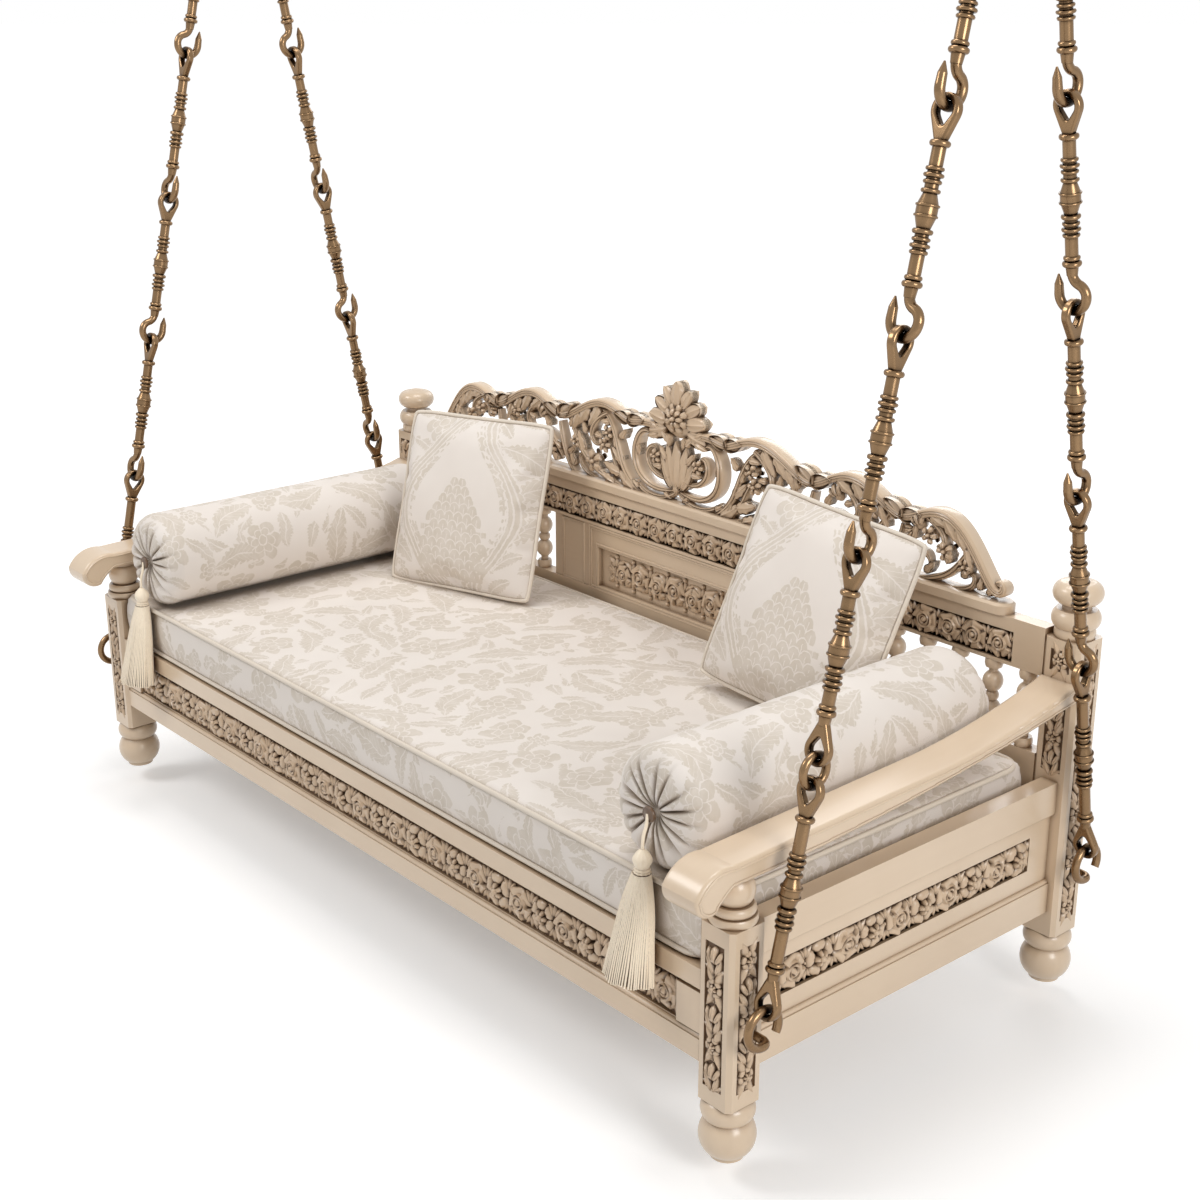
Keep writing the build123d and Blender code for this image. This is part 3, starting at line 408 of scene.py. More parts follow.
def cone_figure(x, y):
    """A cone of round-tipped scales, each lapped by the row below it: 1 on a scale, 0 on the ground."""
    rise = y + 0.142
    t = (rise / 0.205).math("MAXIMUM", 0.0).math("MINIMUM", 1.0)
    edge = t.math("POWER", 2.2).flip().math("POWER", 0.9) * 0.082 + 0.009
    edge = edge * ((t / 0.16).math("MINIMUM", 1.0) * 0.35 + 0.65)
    swell = (edge / 0.090).math("POWER", 0.45) * 0.5 + 0.5
    pitch = swell * 0.0245
    size = swell * 0.0142
    row_h = 0.0185
    last_row = 10.5
    figure = covered = None
    for step_down in (1.0, 0.0):
        row = (rise / row_h).math("FLOOR") - step_down
        odd = (row / 2.0).math("FRACT").over(0.25, 0.01) * 0.5
        column = x / pitch + odd
        middle = column.math("FLOOR") + 0.5 - odd
        dx = x - middle * pitch
        dy = (rise - row * row_h - 0.0075) * 0.74
        reach = (dx * dx + dy * dy).math("SQRT")
        kept = (edge - 0.004).over((middle * pitch).abs(), 0.0006).both(row.over(-0.5, 0.01))
        kept = kept.both((row * -1.0).over(-last_row, 0.01))
        inside = size.over(reach, 0.0008).both(kept)
        body = (size - 0.0017).over(reach, 0.0008)
        vein = dx.abs().over(0.0008, 0.0006).either((rise - row * row_h).over(0.0150, 0.001))
        scale = inside.both(body).both(vein)
        if figure:
            figure = figure.either(scale.both(covered.flip()))
        else:
            figure, covered = scale, inside
    return figure


def leaf_figure(along, off, length, half, teeth):
    """A toothed leaf with a midrib and slanting veins; along runs from -length to length."""
    t = along / length
    edge = ((t * t).flip().math("MAXIMUM", 0.0).math("POWER", 0.8)) * half
    notch = ((along + off.abs() * 0.9) * (pi / teeth)).math("SINE").abs()
    body = (edge * (notch * 0.30 + 0.74)).over(off.abs(), 0.0012)
    rib = off.abs().over(0.0011, 0.0010)
    veins = ((along - off.abs() * 1.3) * (pi / teeth)).math("SINE").abs().over(0.16, 0.12)
    return body.both(rib).both(veins * 0.75 + 0.25)


def flower_figure(x, y, size, petals):
    """A many-petalled flower with a ring of stamens."""
    turn = y.math("ARCTAN2", x)
    reach = (x * x + y * y).math("SQRT")
    lobes = (turn * (petals / 2)).math("COSINE").abs()
    rim = (lobes * 0.30 + 0.72) * size
    body = rim.over(reach, 0.0012)
    inner = (rim * 0.62 - reach).abs().over(0.0010, 0.0010)
    split = lobes.over(0.16, 0.10).either((size * 0.30 - reach).over(0.0, 0.001))
    core = (reach - size * 0.24).abs().over(0.0010, 0.0010)
    return body.both(inner).both(split).both(core)


ALL_ROUND = 6.3
UPRIGHT = 1.2


def scattered(tree, place, cell, share, lean):
    """Flowers and leaves strewn over the cloth, one to a cell, with their pale outlines.
    Returns the figure and the room that it takes."""
    field = node(tree, "ShaderNodeTexVoronoi", voronoi_dimensions="2D")
    field.inputs["Scale"].default_value = 1 / cell
    field.inputs["Randomness"].default_value = 0.72
    tree.links.new(place, field.inputs["Vector"])
    spots = parts_of(tree, field.outputs["Position"])
    dx, dy = [here - spot for here, spot in zip(parts_of(tree, place), spots)]
    chance, way = parts_of(tree, field.outputs["Color"], "ShaderNodeSeparateColor")
    turn = (way - 0.5) * lean
    c = turn.math("COSINE")
    s = turn.math("SINE")
    along = dx * c + dy * s
    off = dy * c - dx * s
    bent = off + along * along * 4.0 - 0.004
    blossom = flower_figure(along, off, cell * 0.40, 6)
    frond = leaf_figure(along, bent, cell * 0.62, cell * 0.22, cell * 0.13)
    picked = chance.over(share, 0.001)
    figure = frond.both(picked).either(blossom.both(picked.flip()))
    beside = off.abs() + along.abs() * 0.12
    room = (cell * 0.27 - beside).over(0.0, 0.002)
    return figure, room.both((cell * 0.60 - along.abs()).over(0.0, 0.002))


def strewn_figure(tree, place, lean):
    """Two sizes of sprays, the small ones behind."""
    big, room = scattered(tree, place, 0.105, 0.42, lean)
    moved = node(tree, "ShaderNodeMapping")
    moved.inputs["Location"].default_value = (5.31, 2.17, 0)
    tree.links.new(place, moved.inputs["Vector"])
    small, _ = scattered(tree, moved.outputs["Vector"], 0.060, 0.35, lean)
    return big.either(small.both(room.flip()))


def ogee_figure(tree, place, x, y, height):
    """The cone in its pointed frame of leaves, with a row of dashes inside the frame."""
    swing = (y * (2 * pi / height)).math("COSINE") * 0.052 + 0.088
    out = x.abs() - swing
    frame_band = (out.abs() * -1.0 + 0.034).over(0.0, 0.0012)
    leaves = strewn_figure(tree, place, UPRIGHT)
    plume_lines = (out * (2 * pi / 0.0125) + y * 30.0).math("SINE").over(-0.55, 0.35)
    scallop = (y * (pi / 0.016)).math("SINE").abs() * 0.006 + 0.013
    plume = scallop.over(out.abs(), 0.0012).both(plume_lines)
    clear_of_plume = (scallop + 0.003).over(out.abs(), 0.001).flip()
    band = plume.either(leaves.both(frame_band).both(clear_of_plume))
    dash = (out + 0.024).abs() * -1.0 + 0.0022
    dashes = dash.over(0.0, 0.0010).both((y * (pi / 0.0075)).math("SINE").over(0.1, 0.2))
    outside = out.over(0.030, 0.001)
    return cone_figure(x, y).either(band).either(dashes).either(leaves.both(outside))


def cloth_noise(tree, source, scale, detail, reach):
    """Two numbers that shift the cloth's own coordinates by up to half of reach."""
    field = node(tree, "ShaderNodeTexNoise", noise_dimensions="2D")
    field.inputs["Scale"].default_value = scale
    field.inputs["Detail"].default_value = detail
    tree.links.new(source, field.inputs["Vector"])
    return [(c - 0.5) * reach for c in parts_of(tree, field.outputs["Color"], "ShaderNodeSeparateColor")]


def make_cloth(name, kind, warp):
    """Cotton damask: a matt ground with a satin figure, and a fine ribbed weave; all but the pillow cloth
    get painted shade in their creases.
    """
    material, tree, shader = new_material(name)
    source = node(tree, "ShaderNodeUVMap", uv_map="cloth").outputs["UV"]
    u, v = parts_of(tree, source)
    drift = cloth_noise(tree, source, 16.0, 2.0, warp)
    jitter = cloth_noise(tree, source, 190.0, 1.0, 0.003)
    wu, wv = u + drift[0] + jitter[0], v + drift[1] + jitter[1]
    joined = node(tree, "ShaderNodeCombineXYZ")
    tree.links.new(wu.socket, joined.inputs["X"])
    tree.links.new(wv.socket, joined.inputs["Y"])
    place = joined.outputs["Vector"]
    if kind == "ogee":
        figure = ogee_figure(tree, place, wu, wv, 0.40)
    else:
        figure = strewn_figure(tree, place, ALL_ROUND)
    rib = (v * (2 * pi / 0.0011)).math("SINE") * 0.5 + 0.5
    slub = noise_wire(tree, source, 900.0, 2.0, 0.6)
    weave = rib * 0.5 + slub * 0.5
    cloud = noise_wire(tree, source, 9.0, 2.0, 0.5)
    worn = noise_wire(tree, source, 30.0, 3.0, 0.6)
    ground = mixed(tree, cloud, srgb(225, 215, 206), srgb(236, 228, 220))
    raised = mixed(tree, cloud, srgb(204, 192, 177), srgb(214, 203, 189))
    strength = (worn * 1.4 + 0.15).math("MINIMUM", 1.0)
    shown = (figure * strength + (weave - 0.5) * 0.10).held()
    woven = mixed(tree, shown, ground, raised)
    if kind != "ogee":
        # Painted shade: the cloth turns a brown grey in creases, pleats and where pieces press together.
        fold = ((crevice(tree, 0.022, 5) - 0.25) / 0.6).held()
        woven = mixed(tree, fold, srgb(146, 126, 104), woven)
    dress(tree, shader, woven, figure * -0.16 + 0.80)
    shader.inputs["Sheen Weight"].default_value = 0.15
    shader.inputs["Sheen Roughness"].default_value = 0.5
    bumped(tree, shader, figure * 0.6 + weave * 0.4, 0.30, 0.0008)
    return material


damask_pillow = make_cloth("damask_pillow", "ogee", 0.006)
damask_seat = make_cloth("damask_seat", "strewn", 0.030)
damask_bolster = make_cloth("damask_bolster", "strewn", 0.022)


def make_plain_cloth(name, dark, light, rough_value, closed=0.0):
    """Piping and thread: twisted yarn with a soft sheen, and painted shade between strands and in corners.
    """
    material, tree, shader = new_material(name)
    place = object_place(tree)
    yarn = noise_wire(tree, place, 700.0, 3.0, 0.6)
    open_air = crevice(tree, 0.006)
    # Painted shade: share moves the yarn towards the dark colour where the surface is closed in; closed sets
    # where that starts.
    share = ((open_air - closed) / (0.88 - closed) + yarn * 0.4 - 0.2).held()
    dress(tree, shader, mixed(tree, share, dark, light), rough_value)
    shader.inputs["Sheen Weight"].default_value = 0.2
    bumped(tree, shader, yarn, 0.3, 0.0005)
    return material


piping_cloth = make_plain_cloth("piping_cloth", srgb(150, 130, 108), srgb(222, 210, 194), 0.65)
thread_cloth = make_plain_cloth("tassel_thread", srgb(122, 94, 66), srgb(252, 236, 211), 0.50, 0.30)
button_cloth = make_plain_cloth("button_leather", srgb(40, 26, 16), srgb(98, 72, 48), 0.35)


# ---- tassel cords
# Millimetres: across from the bolster's middle, back, and up from the feet.
TASSEL_ROUTE = [(0, -393.1, 482.6), (2, -395.8, 466.6), (0, -402, 450.6), (0, -402, 430)]
BOLSTER_X = {"left": -737, "right": 737}


def make_tassel_cord(side):
    """The cord from under the button to the tassel's head."""
    cord = new_line()
    cord.name = side + "_tassel_line"
    x0 = BOLSTER_X[side]
    run_of(cord, [at(x0 + x, y, h) for x, y, h in TASSEL_ROUTE])
    round_section(cord, 0.0025, 3)
    cord.data.materials.append(thread_cloth)
    pick(cord)
    bpy.ops.object.transform_apply(location=True, rotation=True, scale=True)
    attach(cord, side + "_tassel")
    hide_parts(side + "_tassel_cord")
    return cord


SIDES = ("left", "right")
tassel_lines = {side: make_tassel_cord(side) for side in SIDES}


# ---- shaping helpers
def edit_mesh(thing):
    pick(thing)
    bpy.ops.object.mode_set(mode="EDIT")
    return bmesh.from_edit_mesh(thing.data)


def turned(name, steps, centre, sides):
    """A turned piece: (height above the foot, radius) steps, spun about an upright axis."""
    foot, start = steps[0]
    bpy.ops.mesh.primitive_circle_add(vertices=sides, radius=start, location=(0, 0, foot))
    piece = bpy.context.object
    bpy.ops.object.mode_set(mode="EDIT")
    bpy.ops.mesh.select_all(action="SELECT")
    bpy.ops.mesh.edge_face_add()
    for (low, before), (high, after) in zip(steps, steps[1:]):
        bpy.ops.mesh.extrude_region_move(TRANSFORM_OT_translate={"value": (0, 0, high - low)})
        share = after / before
        bpy.ops.transform.resize(value=(share, share, 1), center_override=(0, 0, high))
    bpy.ops.mesh.select_all(action="SELECT")
    bpy.ops.mesh.normals_make_consistent(inside=False)
    leave()
    piece.location = centre
    return settle(piece, name)


def bulge(low, high, foot, top, out, count):
    """Rounded run of a turning, as (height, radius) steps after its foot."""
    steps = []
    for n in range(1, count + 1):
        t = n / count
        steps.append((low + (high - low) * t, foot + (top - foot) * t + out * sin(pi * t)))
    return steps


# ---- tassels
def skirt_spot(x, t, turn, share=1.0):
    """A point of a tassel's skirt: t runs from the head to the foot, turn goes round it."""
    wide = 12.5 + 31.5 * t ** 0.80 + 3.0 * sin(pi * min(1.0, t * 1.6))
    deep = 11.5 + 11.5 * t ** 0.80
    if sin(turn) < 0:
        deep *= 1 + 0.45 * t
    return x + cos(turn) * wide * share, -403 - 21 * t + sin(turn) * deep * share


def make_tassel(side):
    x = BOLSTER_X[side]
    head = at(x, -402, 390)
    steps = [(0.0, 0.0105)]
    steps += bulge(0.0, 0.0045, 0.0115, 0.0115, 0.0018, 4)
    steps += bulge(0.0045, 0.0090, 0.0110, 0.0108, 0.0018, 4)
    steps += bulge(0.0090, 0.0135, 0.0105, 0.0095, 0.0016, 4)
    steps += bulge(0.0135, 0.0400, 0.0088, 0.0050, 0.0068, 10)
    steps += [(0.0415, 0.003)]
    knob = turned(side + "_tassel_knob", steps, head, 48)
    for v in knob.data.vertices:
        reach = Vector((v.co.x - head.x, v.co.y - head.y))
        gather = 1 - 0.035 * cos(12 * atan2(reach.y, reach.x))
        v.co.x = head.x + reach.x * gather
        v.co.y = head.y + reach.y * gather
    smooth(knob, 60)

    skirt = new_line()
    strands = 60
    for n in range(strands):
        turn = 2 * pi * n / strands
        wob = noise.noise(Vector((turn * 2.3, 7, 3.1 if x > 0 else -3.1)))
        points = []
        for k in range(6):
            t = k / 5
            lean = turn + 0.05 * noise.noise(Vector((turn * 5, k * 0.7, 2.0))) + 0.07 * wob * t
            clump = 1 - 0.05 * t * abs(cos(turn * 4.5 + wob))
            px, py = skirt_spot(x, t, lean, clump)
            points.append((*at(px, py, 395 - (395 - 241) * t - wob * 7 * t * t), 1.15 if k < 5 else 0.8))
        run_of(skirt, points)
    round_section(skirt, 0.0020, 1)
    skirt = as_mesh(skirt, side + "_tassel_skirt")
    smooth(skirt, 60)

    column = [(h, 0.02) for h in (0.0, 0.02, 0.05, 0.08, 0.105, 0.125, 0.14, 0.150)]
    steps = [(0.001, 0.01)] + column + [(0.152, 0.01)]
    heart = turned(side + "_tassel_heart", steps, at(x, -403, 243), 120)
    centre = at(x, -403, 0)
    for v in heart.data.vertices:
        reach = Vector((v.co.x - centre.x, v.co.y - centre.y))
        turn = atan2(reach.y, reach.x)
        t = 1 - (v.co.z - at(0, 0, 243).z) / 0.152
        share = reach.length / 0.02
        strand = 0.91 - 0.035 * abs(sin(turn * 30))
        px, py = skirt_spot(x, t, turn, share * strand)
        v.co.x, v.co.y = at(px, py, 0).xy
    for piece, name in ((knob, "knob"), (skirt, "skirt"), (heart, "heart")):
        finish(piece, side + "_tassel_" + name, side + "_tassel", thread_cloth,
               [side + "_tassel"] if name == "skirt" else [])
    dx, y, h = TASSEL_ROUTE[0]
    tuple(at(x + dx, y, h))


for side in SIDES:
    make_tassel(side)


# ---- cloth pieces
def welt(name, points, radius, body):
    """Piping: a round covered cord along a closed line of points."""
    line = new_line()
    run_of(line, points, closed=True)
    line.data.resolution_u = 2
    round_section(line, radius, 2, caps=False)
    line = as_mesh(line, name)
    smooth(line, 60)
    return finish(line, name, body, piping_cloth)


def cloth_map(thing, rule, girth=None):
    """Lays the cloth's own coordinates, in metres, on a piece; rule takes a corner and its face.
    Where the cloth goes right round, girth is its length, so that no face spans the seam."""
    mesh = thing.data
    layer = mesh.uv_layers.new(name="cloth")
    for face in mesh.polygons:
        spots = [rule(mesh.vertices[mesh.loops[c].vertex_index].co, face.normal) for c in face.loop_indices]
        wide = max(u for u, v in spots)
        for corner, (u, v) in zip(face.loop_indices, spots):
            if girth and wide - u > girth / 2:
                u += girth
            layer.data[corner].uv = (u, v)


PIPING_RADIUS = 0.0042
PIPING_OUT = 0.0005


def make_mattress():
    """The pad with its crown, the bolsters' dips and soft sides, and two lines of piping."""
    low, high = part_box("mattress")
    mid = (low + high) / 2
    size = high - low
    bpy.ops.mesh.primitive_cube_add(size=1, location=mid, scale=size)
    pad = bpy.context.object
    settle(pad, "mattress_pad")
    corner = 0.040
    half = size / 2
    cage = edit_mesh(pad)
    for edge in cage.edges:
        edge.select_set(abs(edge.verts[0].co.z - edge.verts[1].co.z) > size.z / 2)
    bmesh.update_edit_mesh(pad.data)
    bpy.ops.mesh.bevel(offset=corner, segments=6)
    cage = bmesh.from_edit_mesh(pad.data)
    for edge in cage.edges:
        level = abs(edge.verts[0].co.z - edge.verts[1].co.z) < 0.001
        edge.select_set(level and len(edge.link_faces) == 2 and edge.calc_face_angle(0) > 1.2)
    bmesh.update_edit_mesh(pad.data)
    bpy.ops.mesh.bevel(offset=0.011, segments=4, profile=0.5)
    leave()
    cut(pad, "REMESH", mode="VOXEL", voxel_size=0.009)
    top, wall = 0.03, 0.034
    crown_high, dip_deep, dip_wide = 0.005, 0.004, 0.085
    for v in pad.data.vertices:
        p = v.co - mid
        if p.z > top:
            crown = sqrt(max(0.0, 1 - (p.x / half.x) ** 2)) * sqrt(max(0.0, 1 - (p.y / half.y) ** 2))
            dip = sum(max(0.0, 1 - abs(p.x - x / 1000) / dip_wide) * dip_deep for x in BOLSTER_X.values())
            wave = noise.noise(Vector((p.x * 4, p.y * 5, 1.7))) * 0.0018
            v.co.z += crown * crown_high + wave * crown - dip - 0.001
        elif abs(p.z) < wall:
            if max(abs(p.x) / half.x, abs(p.y) / half.y) > 0.9:
                belly = cos(p.z / wall * pi / 2)
                ripple = noise.noise(Vector((p.x * 6, p.y * 6, p.z * 8))) * 0.002
                push = belly * 0.003 + ripple
                if abs(p.y) / half.y > 0.93:
                    v.co.y += push if p.y > 0 else -push
                if abs(p.x) / half.x > 0.97:
                    v.co.x += push if p.x > 0 else -push
    smooth(pad, 50)

    def rule(spot, normal):
        if abs(normal.z) > 0.6:
            return spot.x, spot.y
        if abs(normal.y) > abs(normal.x):
            return spot.x, spot.z - high.z + low.y
        return spot.y, spot.z - high.z + high.x

    cloth_map(pad, rule)
    finish(pad, "mattress_pad", "mattress", damask_seat, ["mattress"])

    def rim_spot(way, degrees, z):
        """A point of the piping at a corner: way says which corner."""
        turn = radians(degrees)
        return Vector((mid.x + way[0] * (half.x - corner) + cos(turn) * (corner + PIPING_OUT),
                       mid.y + way[1] * (half.y - corner) + sin(turn) * (corner + PIPING_OUT), z))

    ways = ((1, 1), (-1, 1), (-1, -1), (1, -1))
    for name, z in (("upper", high.z - 0.006), ("lower", low.z + 0.006)):
        points = []
        for number, way in enumerate(ways):
            points += [rim_spot(way, 90 * number + step * 15, z) for step in range(7)]
            last = points[-1]
            stop = rim_spot(ways[(number + 1) % 4], 90 * number + 90, z)
            count = 24 if abs(stop.x - last.x) > abs(stop.y - last.y) else 10
            for step in range(1, count):
                spot = last.lerp(stop, step / count)
                spot.z += noise.noise(Vector((spot.x * 5, spot.y * 5, z * 3))) * 0.0010
                points.append(spot)
        welt("mattress_" + name + "_piping", points, PIPING_RADIUS, "mattress")


make_mattress()


def make_bolster(side):
    """A round bolster whose cover is drawn into pleats over each end."""
    low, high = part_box(side + "_bolster")
    mid = (low + high) / 2
    radius = (high.z - low.z) / 2
    length = high.y - low.y
    bpy.ops.mesh.primitive_cylinder_add(
        vertices=216, radius=radius, depth=length, end_fill_type="NOTHING",
        location=mid, rotation=(pi / 2, 0, 0),
    )
    roll = bpy.context.object
    settle(roll, side + "_bolster_roll")
    plain_end, ring_count = 0.034, 23
    pitch = (length - 2 * plain_end) / (ring_count - 1)
    edit_mesh(roll)
    for y in [mid.y] + [low.y + plain_end + pitch * k for k in range(ring_count)]:
        bpy.ops.mesh.select_all(action="SELECT")
        bpy.ops.mesh.bisect(plane_co=(mid.x, y, mid.z), plane_no=(0, 1, 0))
    # Rings of the gathered ends, as shares of the radius.
    cap = (0.99, 0.965, 0.925, 0.87, 0.80, 0.71, 0.61, 0.50, 0.39, 0.28, 0.18, 0.11, 0.05)
    for end in (low.y, high.y):
        cage = bmesh.from_edit_mesh(roll.data)
        for v in cage.verts:
            v.select_set(False)
        for edge in cage.edges:
            edge.select_set(all(abs(v.co.y - end) < 1e-5 for v in edge.verts))
        bmesh.update_edit_mesh(roll.data)
        before = 1.0
        for share in cap:
            bpy.ops.mesh.extrude_edges_move()
            bpy.ops.transform.resize(value=(share / before,) * 3, center_override=(mid.x, end, mid.z))
            before = share
    leave()
    pleats = 16
    soft = 0.032
    for v in roll.data.vertices:
        p = v.co - mid
        reach = sqrt(p.x * p.x + p.z * p.z)
        turn = atan2(p.z, p.x)
        share = reach / radius
        front = p.y < 0
        from_end = length / 2 - abs(p.y)
        wander = noise.noise(Vector((cos(turn) * 1.7, sin(turn) * 1.7, 3.3 if front else 7.7)))
        fold = abs(sin(turn * pleats / 2 + wander * 2.2))
        crease = (1 - fold) ** 2.6
        puff = fold ** 0.7
        strong = 0.75 + 0.5 * noise.noise(Vector((turn * 2.1, 4.4 if front else 9.1, 0.0)))
        if from_end < 1e-4:
            t = max(0.0, (share - 1 + soft / radius) / (soft / radius))
            round_off = soft * (1 - sqrt(max(0.0, 1 - t * t)))
            pit = 0.009 * max(0.0, 1 - share / 0.34) ** 1.6
            fade = min(1.0, max(0.0, share - 0.06) / 0.16)
            fade *= max(0.0, 1 - max(0.0, share - 0.55) / 0.45) ** 0.8
            gap = 0.013 * crease * fade * strong - 0.003 * puff * fade
            out = -round_off - pit - gap - 0.003
            v.co.y += -out if front else out
            twist = 0.05 * wander * (1 - share)
            c, s = cos(turn + twist), sin(turn + twist)
            v.co.x, v.co.z = mid.x + c * reach, mid.z + s * reach
        else:
            ripple = noise.noise(Vector((p.x * 9, p.y * 7, p.z * 9))) * 0.0016
            sag = 0.0015 if p.z < -radius * 0.75 else 0.0
            grow = 1 + (ripple - sag) / radius
            v.co.x = mid.x + p.x * grow
            v.co.z = mid.z + p.z * grow
    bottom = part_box("mattress")[1].z + 0.0005
    for v in roll.data.vertices:
        v.co.z = max(v.co.z, bottom)
    cut(roll, "SUBSURF", levels=1, render_levels=1)
    edit_all(roll)
    bpy.ops.mesh.fill_holes(sides=0)
    leave()
    smooth(roll, 70)

    def rule(spot, normal):
        p = spot - mid
        turn = atan2(p.x, p.z)
        if abs(p.y) > length / 2 - 0.030:
            reach = sqrt(p.x * p.x + p.z * p.z)
            return turn * radius, spot.y + (radius - reach) * (1 if p.y > 0 else -1)
        return turn * radius, spot.y

    cloth_map(roll, rule, 2 * pi * radius)
    finish(roll, side + "_bolster_roll", side + "_bolster", damask_bolster,
                     [side + "_bolster"])


for side in SIDES:
    make_bolster(side)
    low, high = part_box(side + "_bolster_button")
    mid = (low + high) / 2
    steps = [(0, 0.010), (0.002, 0.0120), (0.0045, 0.0120), (0.0062, 0.0105), (0.0058, 0.0085)]
    steps += [(0.0070, 0.006), (0.0074, 0.002)]
    button = turned(side + "_button", steps, (0, 0, 0), 40)
    button.rotation_euler = (pi / 2, 0, 0)
    button.location = (mid.x, high.y - 0.0016, mid.z)
    settle(button, side + "_button")
    smooth(button, 50)
    finish(button, side + "_button", side + "_bolster", button_cloth,
           [side + "_bolster_button"])


CLOTH_DROP = 0.012  # how far the figure's middle lies under the cushion's middle
CUSHION_FLAT = 0.355
CUSHION_WIDE = 0.347
CUSHION_THICK = 0.104
CUSHION_CLEAR = 0.0035  # room for the piping under the lowest corner
CLOTH_FRAMES = 26
CLOTH_RULES = {
    "quality": 6, "mass": 0.25, "tension_stiffness": 40, "compression_stiffness": 12,
    "shear_stiffness": 6, "bending_stiffness": 3.0, "use_pressure": True,
    "uniform_pressure_force": 2.4, "air_damping": 3,
}
CUSHION_LIE = {  # turn about the upright axis, lean back, roll to the side, in degrees
    "left": (14.7, 18, 2),
    "right": (3.5, 22, -5.6),
}


def make_cushion(side):
    """A square pillow, sewn flat, then filled so that its cover draws in between the corners."""
    body = side + "_cushion"
    low, high = span_of([v.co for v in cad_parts[body].data.vertices])
    mid = (low + high) / 2
    turn, lean, roll = (radians(a) for a in CUSHION_LIE[side])
    width_dir = Vector((cos(turn), sin(turn), 0))
    back_dir = Vector((-width_dir.y, width_dir.x, 0))
    up_dir = Vector((0, 0, 1)) * cos(lean) + back_dir * sin(lean)
    across = width_dir * cos(roll) + up_dir * sin(roll)
    normal = width_dir.cross(up_dir)
    upright = normal.cross(across)
    half = CUSHION_FLAT / 2
    count = 44
    bpy.ops.mesh.primitive_grid_add(x_subdivisions=count, y_subdivisions=count, size=2 * half)
    front = bpy.context.object
    cloth_map(front, lambda spot, normal: (spot.x, spot.y + CLOTH_DROP))
    bpy.ops.object.duplicate()
    back = bpy.context.object
    edit_all(back)
    bpy.ops.mesh.flip_normals()
    leave()
    for half_cover, sign in ((front, 1), (back, -1)):
        for v in half_cover.data.vertices:
            a, b = v.co.x / half, v.co.y / half
            fill = max(0.0, 1 - a * a) * max(0.0, 1 - b * b)
            v.co.z += sign * 0.010 * fill ** 0.4
            trim = 0.030 * (a * a * b * b) ** 3
            v.co.x *= 1 - trim + 0.012 * (1 - b * b)
            v.co.y *= 1 - trim + 0.012 * (1 - a * a)
    pick(front, back)
    bpy.ops.object.join()
    pillow = bpy.context.object
    edit_all(pillow)
    bpy.ops.mesh.remove_doubles(threshold=0.0002)
    leave()
    cover = pillow.modifiers.new("cover", "CLOTH")
    cover.settings.effector_weights.gravity = 0
    for key, value in CLOTH_RULES.items():
        setattr(cover.settings, key, value)
    cover.point_cache.frame_start = 1
    cover.point_cache.frame_end = CLOTH_FRAMES
    for step in range(1, CLOTH_FRAMES + 1):
        bpy.context.scene.frame_set(step)
    pick(pillow)
    bpy.ops.object.modifier_apply(modifier="cover")
    bpy.context.scene.frame_set(1)
    squeeze = CUSHION_THICK / 2 / max(abs(v.co.z) for v in pillow.data.vertices)
    grow = CUSHION_WIDE / 2 / max(abs(v.co.x) for v in pillow.data.vertices)
    for v in pillow.data.vertices:
        v.co.z *= squeeze
        v.co.x *= grow
        v.co.y *= grow
    cover = edit_mesh(pillow)
    layer = cover.loops.layers.uv["cloth"]
    seam = [v.co.copy() for v in cover.verts if any(
        abs(abs(loop[layer].uv.x) - half) < 1e-5 or abs(abs(loop[layer].uv.y - CLOTH_DROP) - half) < 1e-5
        for loop in v.link_loops)]
    seam.sort(key=lambda spot: atan2(spot.y, spot.x))
    leave()
    place = Matrix((
        (across.x, upright.x, normal.x, mid.x),
        (across.y, upright.y, normal.y, mid.y),
        (across.z, upright.z, normal.z, mid.z),
        (0, 0, 0, 1),
    ))
    lowest = min((place @ v.co).z for v in pillow.data.vertices)
    place.translation.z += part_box("mattress")[1].z + CUSHION_CLEAR - lowest
    pillow.data.transform(place)
    cut(pillow, "SUBSURF", levels=1, render_levels=1)
    smooth(pillow, 80)
    finish(pillow, body + "_cover", body, damask_pillow, [body])
    welt(body + "_piping", [place @ (spot * 1.004) for spot in seam], PIPING_RADIUS, body)


for side in SIDES:
    make_cushion(side)


# ---- carving
def half_ball(segments, rings):
    """The upper half of a ball of radius 1."""
    bpy.ops.mesh.primitive_uv_sphere_add(segments=segments, ring_count=rings * 2 - 2, radius=1)
    ball = bpy.context.object
    edit_all(ball)
    bpy.ops.mesh.bisect(plane_co=(0, 0, 0), plane_no=(0, 0, 1), clear_inner=True)
    leave()
    return ball


def petal_mesh(length, width, height, tip=0.5, segments=8, rings=5):
    """One rounded petal lying along +X from the origin, made from a ball and pinched at its root."""
    ball = half_ball(segments, rings)
    for v in ball.data.vertices:
        t = (v.co.x + 1) / 2
        spread = (0.35 + 0.65 * t ** 0.8) * (1 - tip * max(0.0, t - 0.72))
        groove = 0.22 * max(0.0, 1 - abs(v.co.y) * 2.6) * v.co.z
        v.co = Vector((t * length, v.co.y * width / 2 * spread, (v.co.z - groove) * height))
    return only_mesh(ball)


def dome_mesh(radius, height, segments, rings):
    ball = half_ball(segments, rings)
    for v in ball.data.vertices:
        v.co = Vector((v.co.x * radius, v.co.y * radius, v.co.z * height))
    return only_mesh(ball)


def walled(thing, depth):
    """Carries a relief's border straight down, so that it stands as a cut-out piece."""
    edit_mesh(thing)
    bpy.ops.mesh.select_mode(type="EDGE")
    bpy.ops.mesh.select_all(action="DESELECT")
    bpy.ops.mesh.select_non_manifold()
    bpy.ops.mesh.extrude_edges_move(TRANSFORM_OT_translate={"value": (0, 0, -depth)})
    bpy.ops.mesh.select_mode(type="VERT")
    leave()
    return only_mesh(thing)


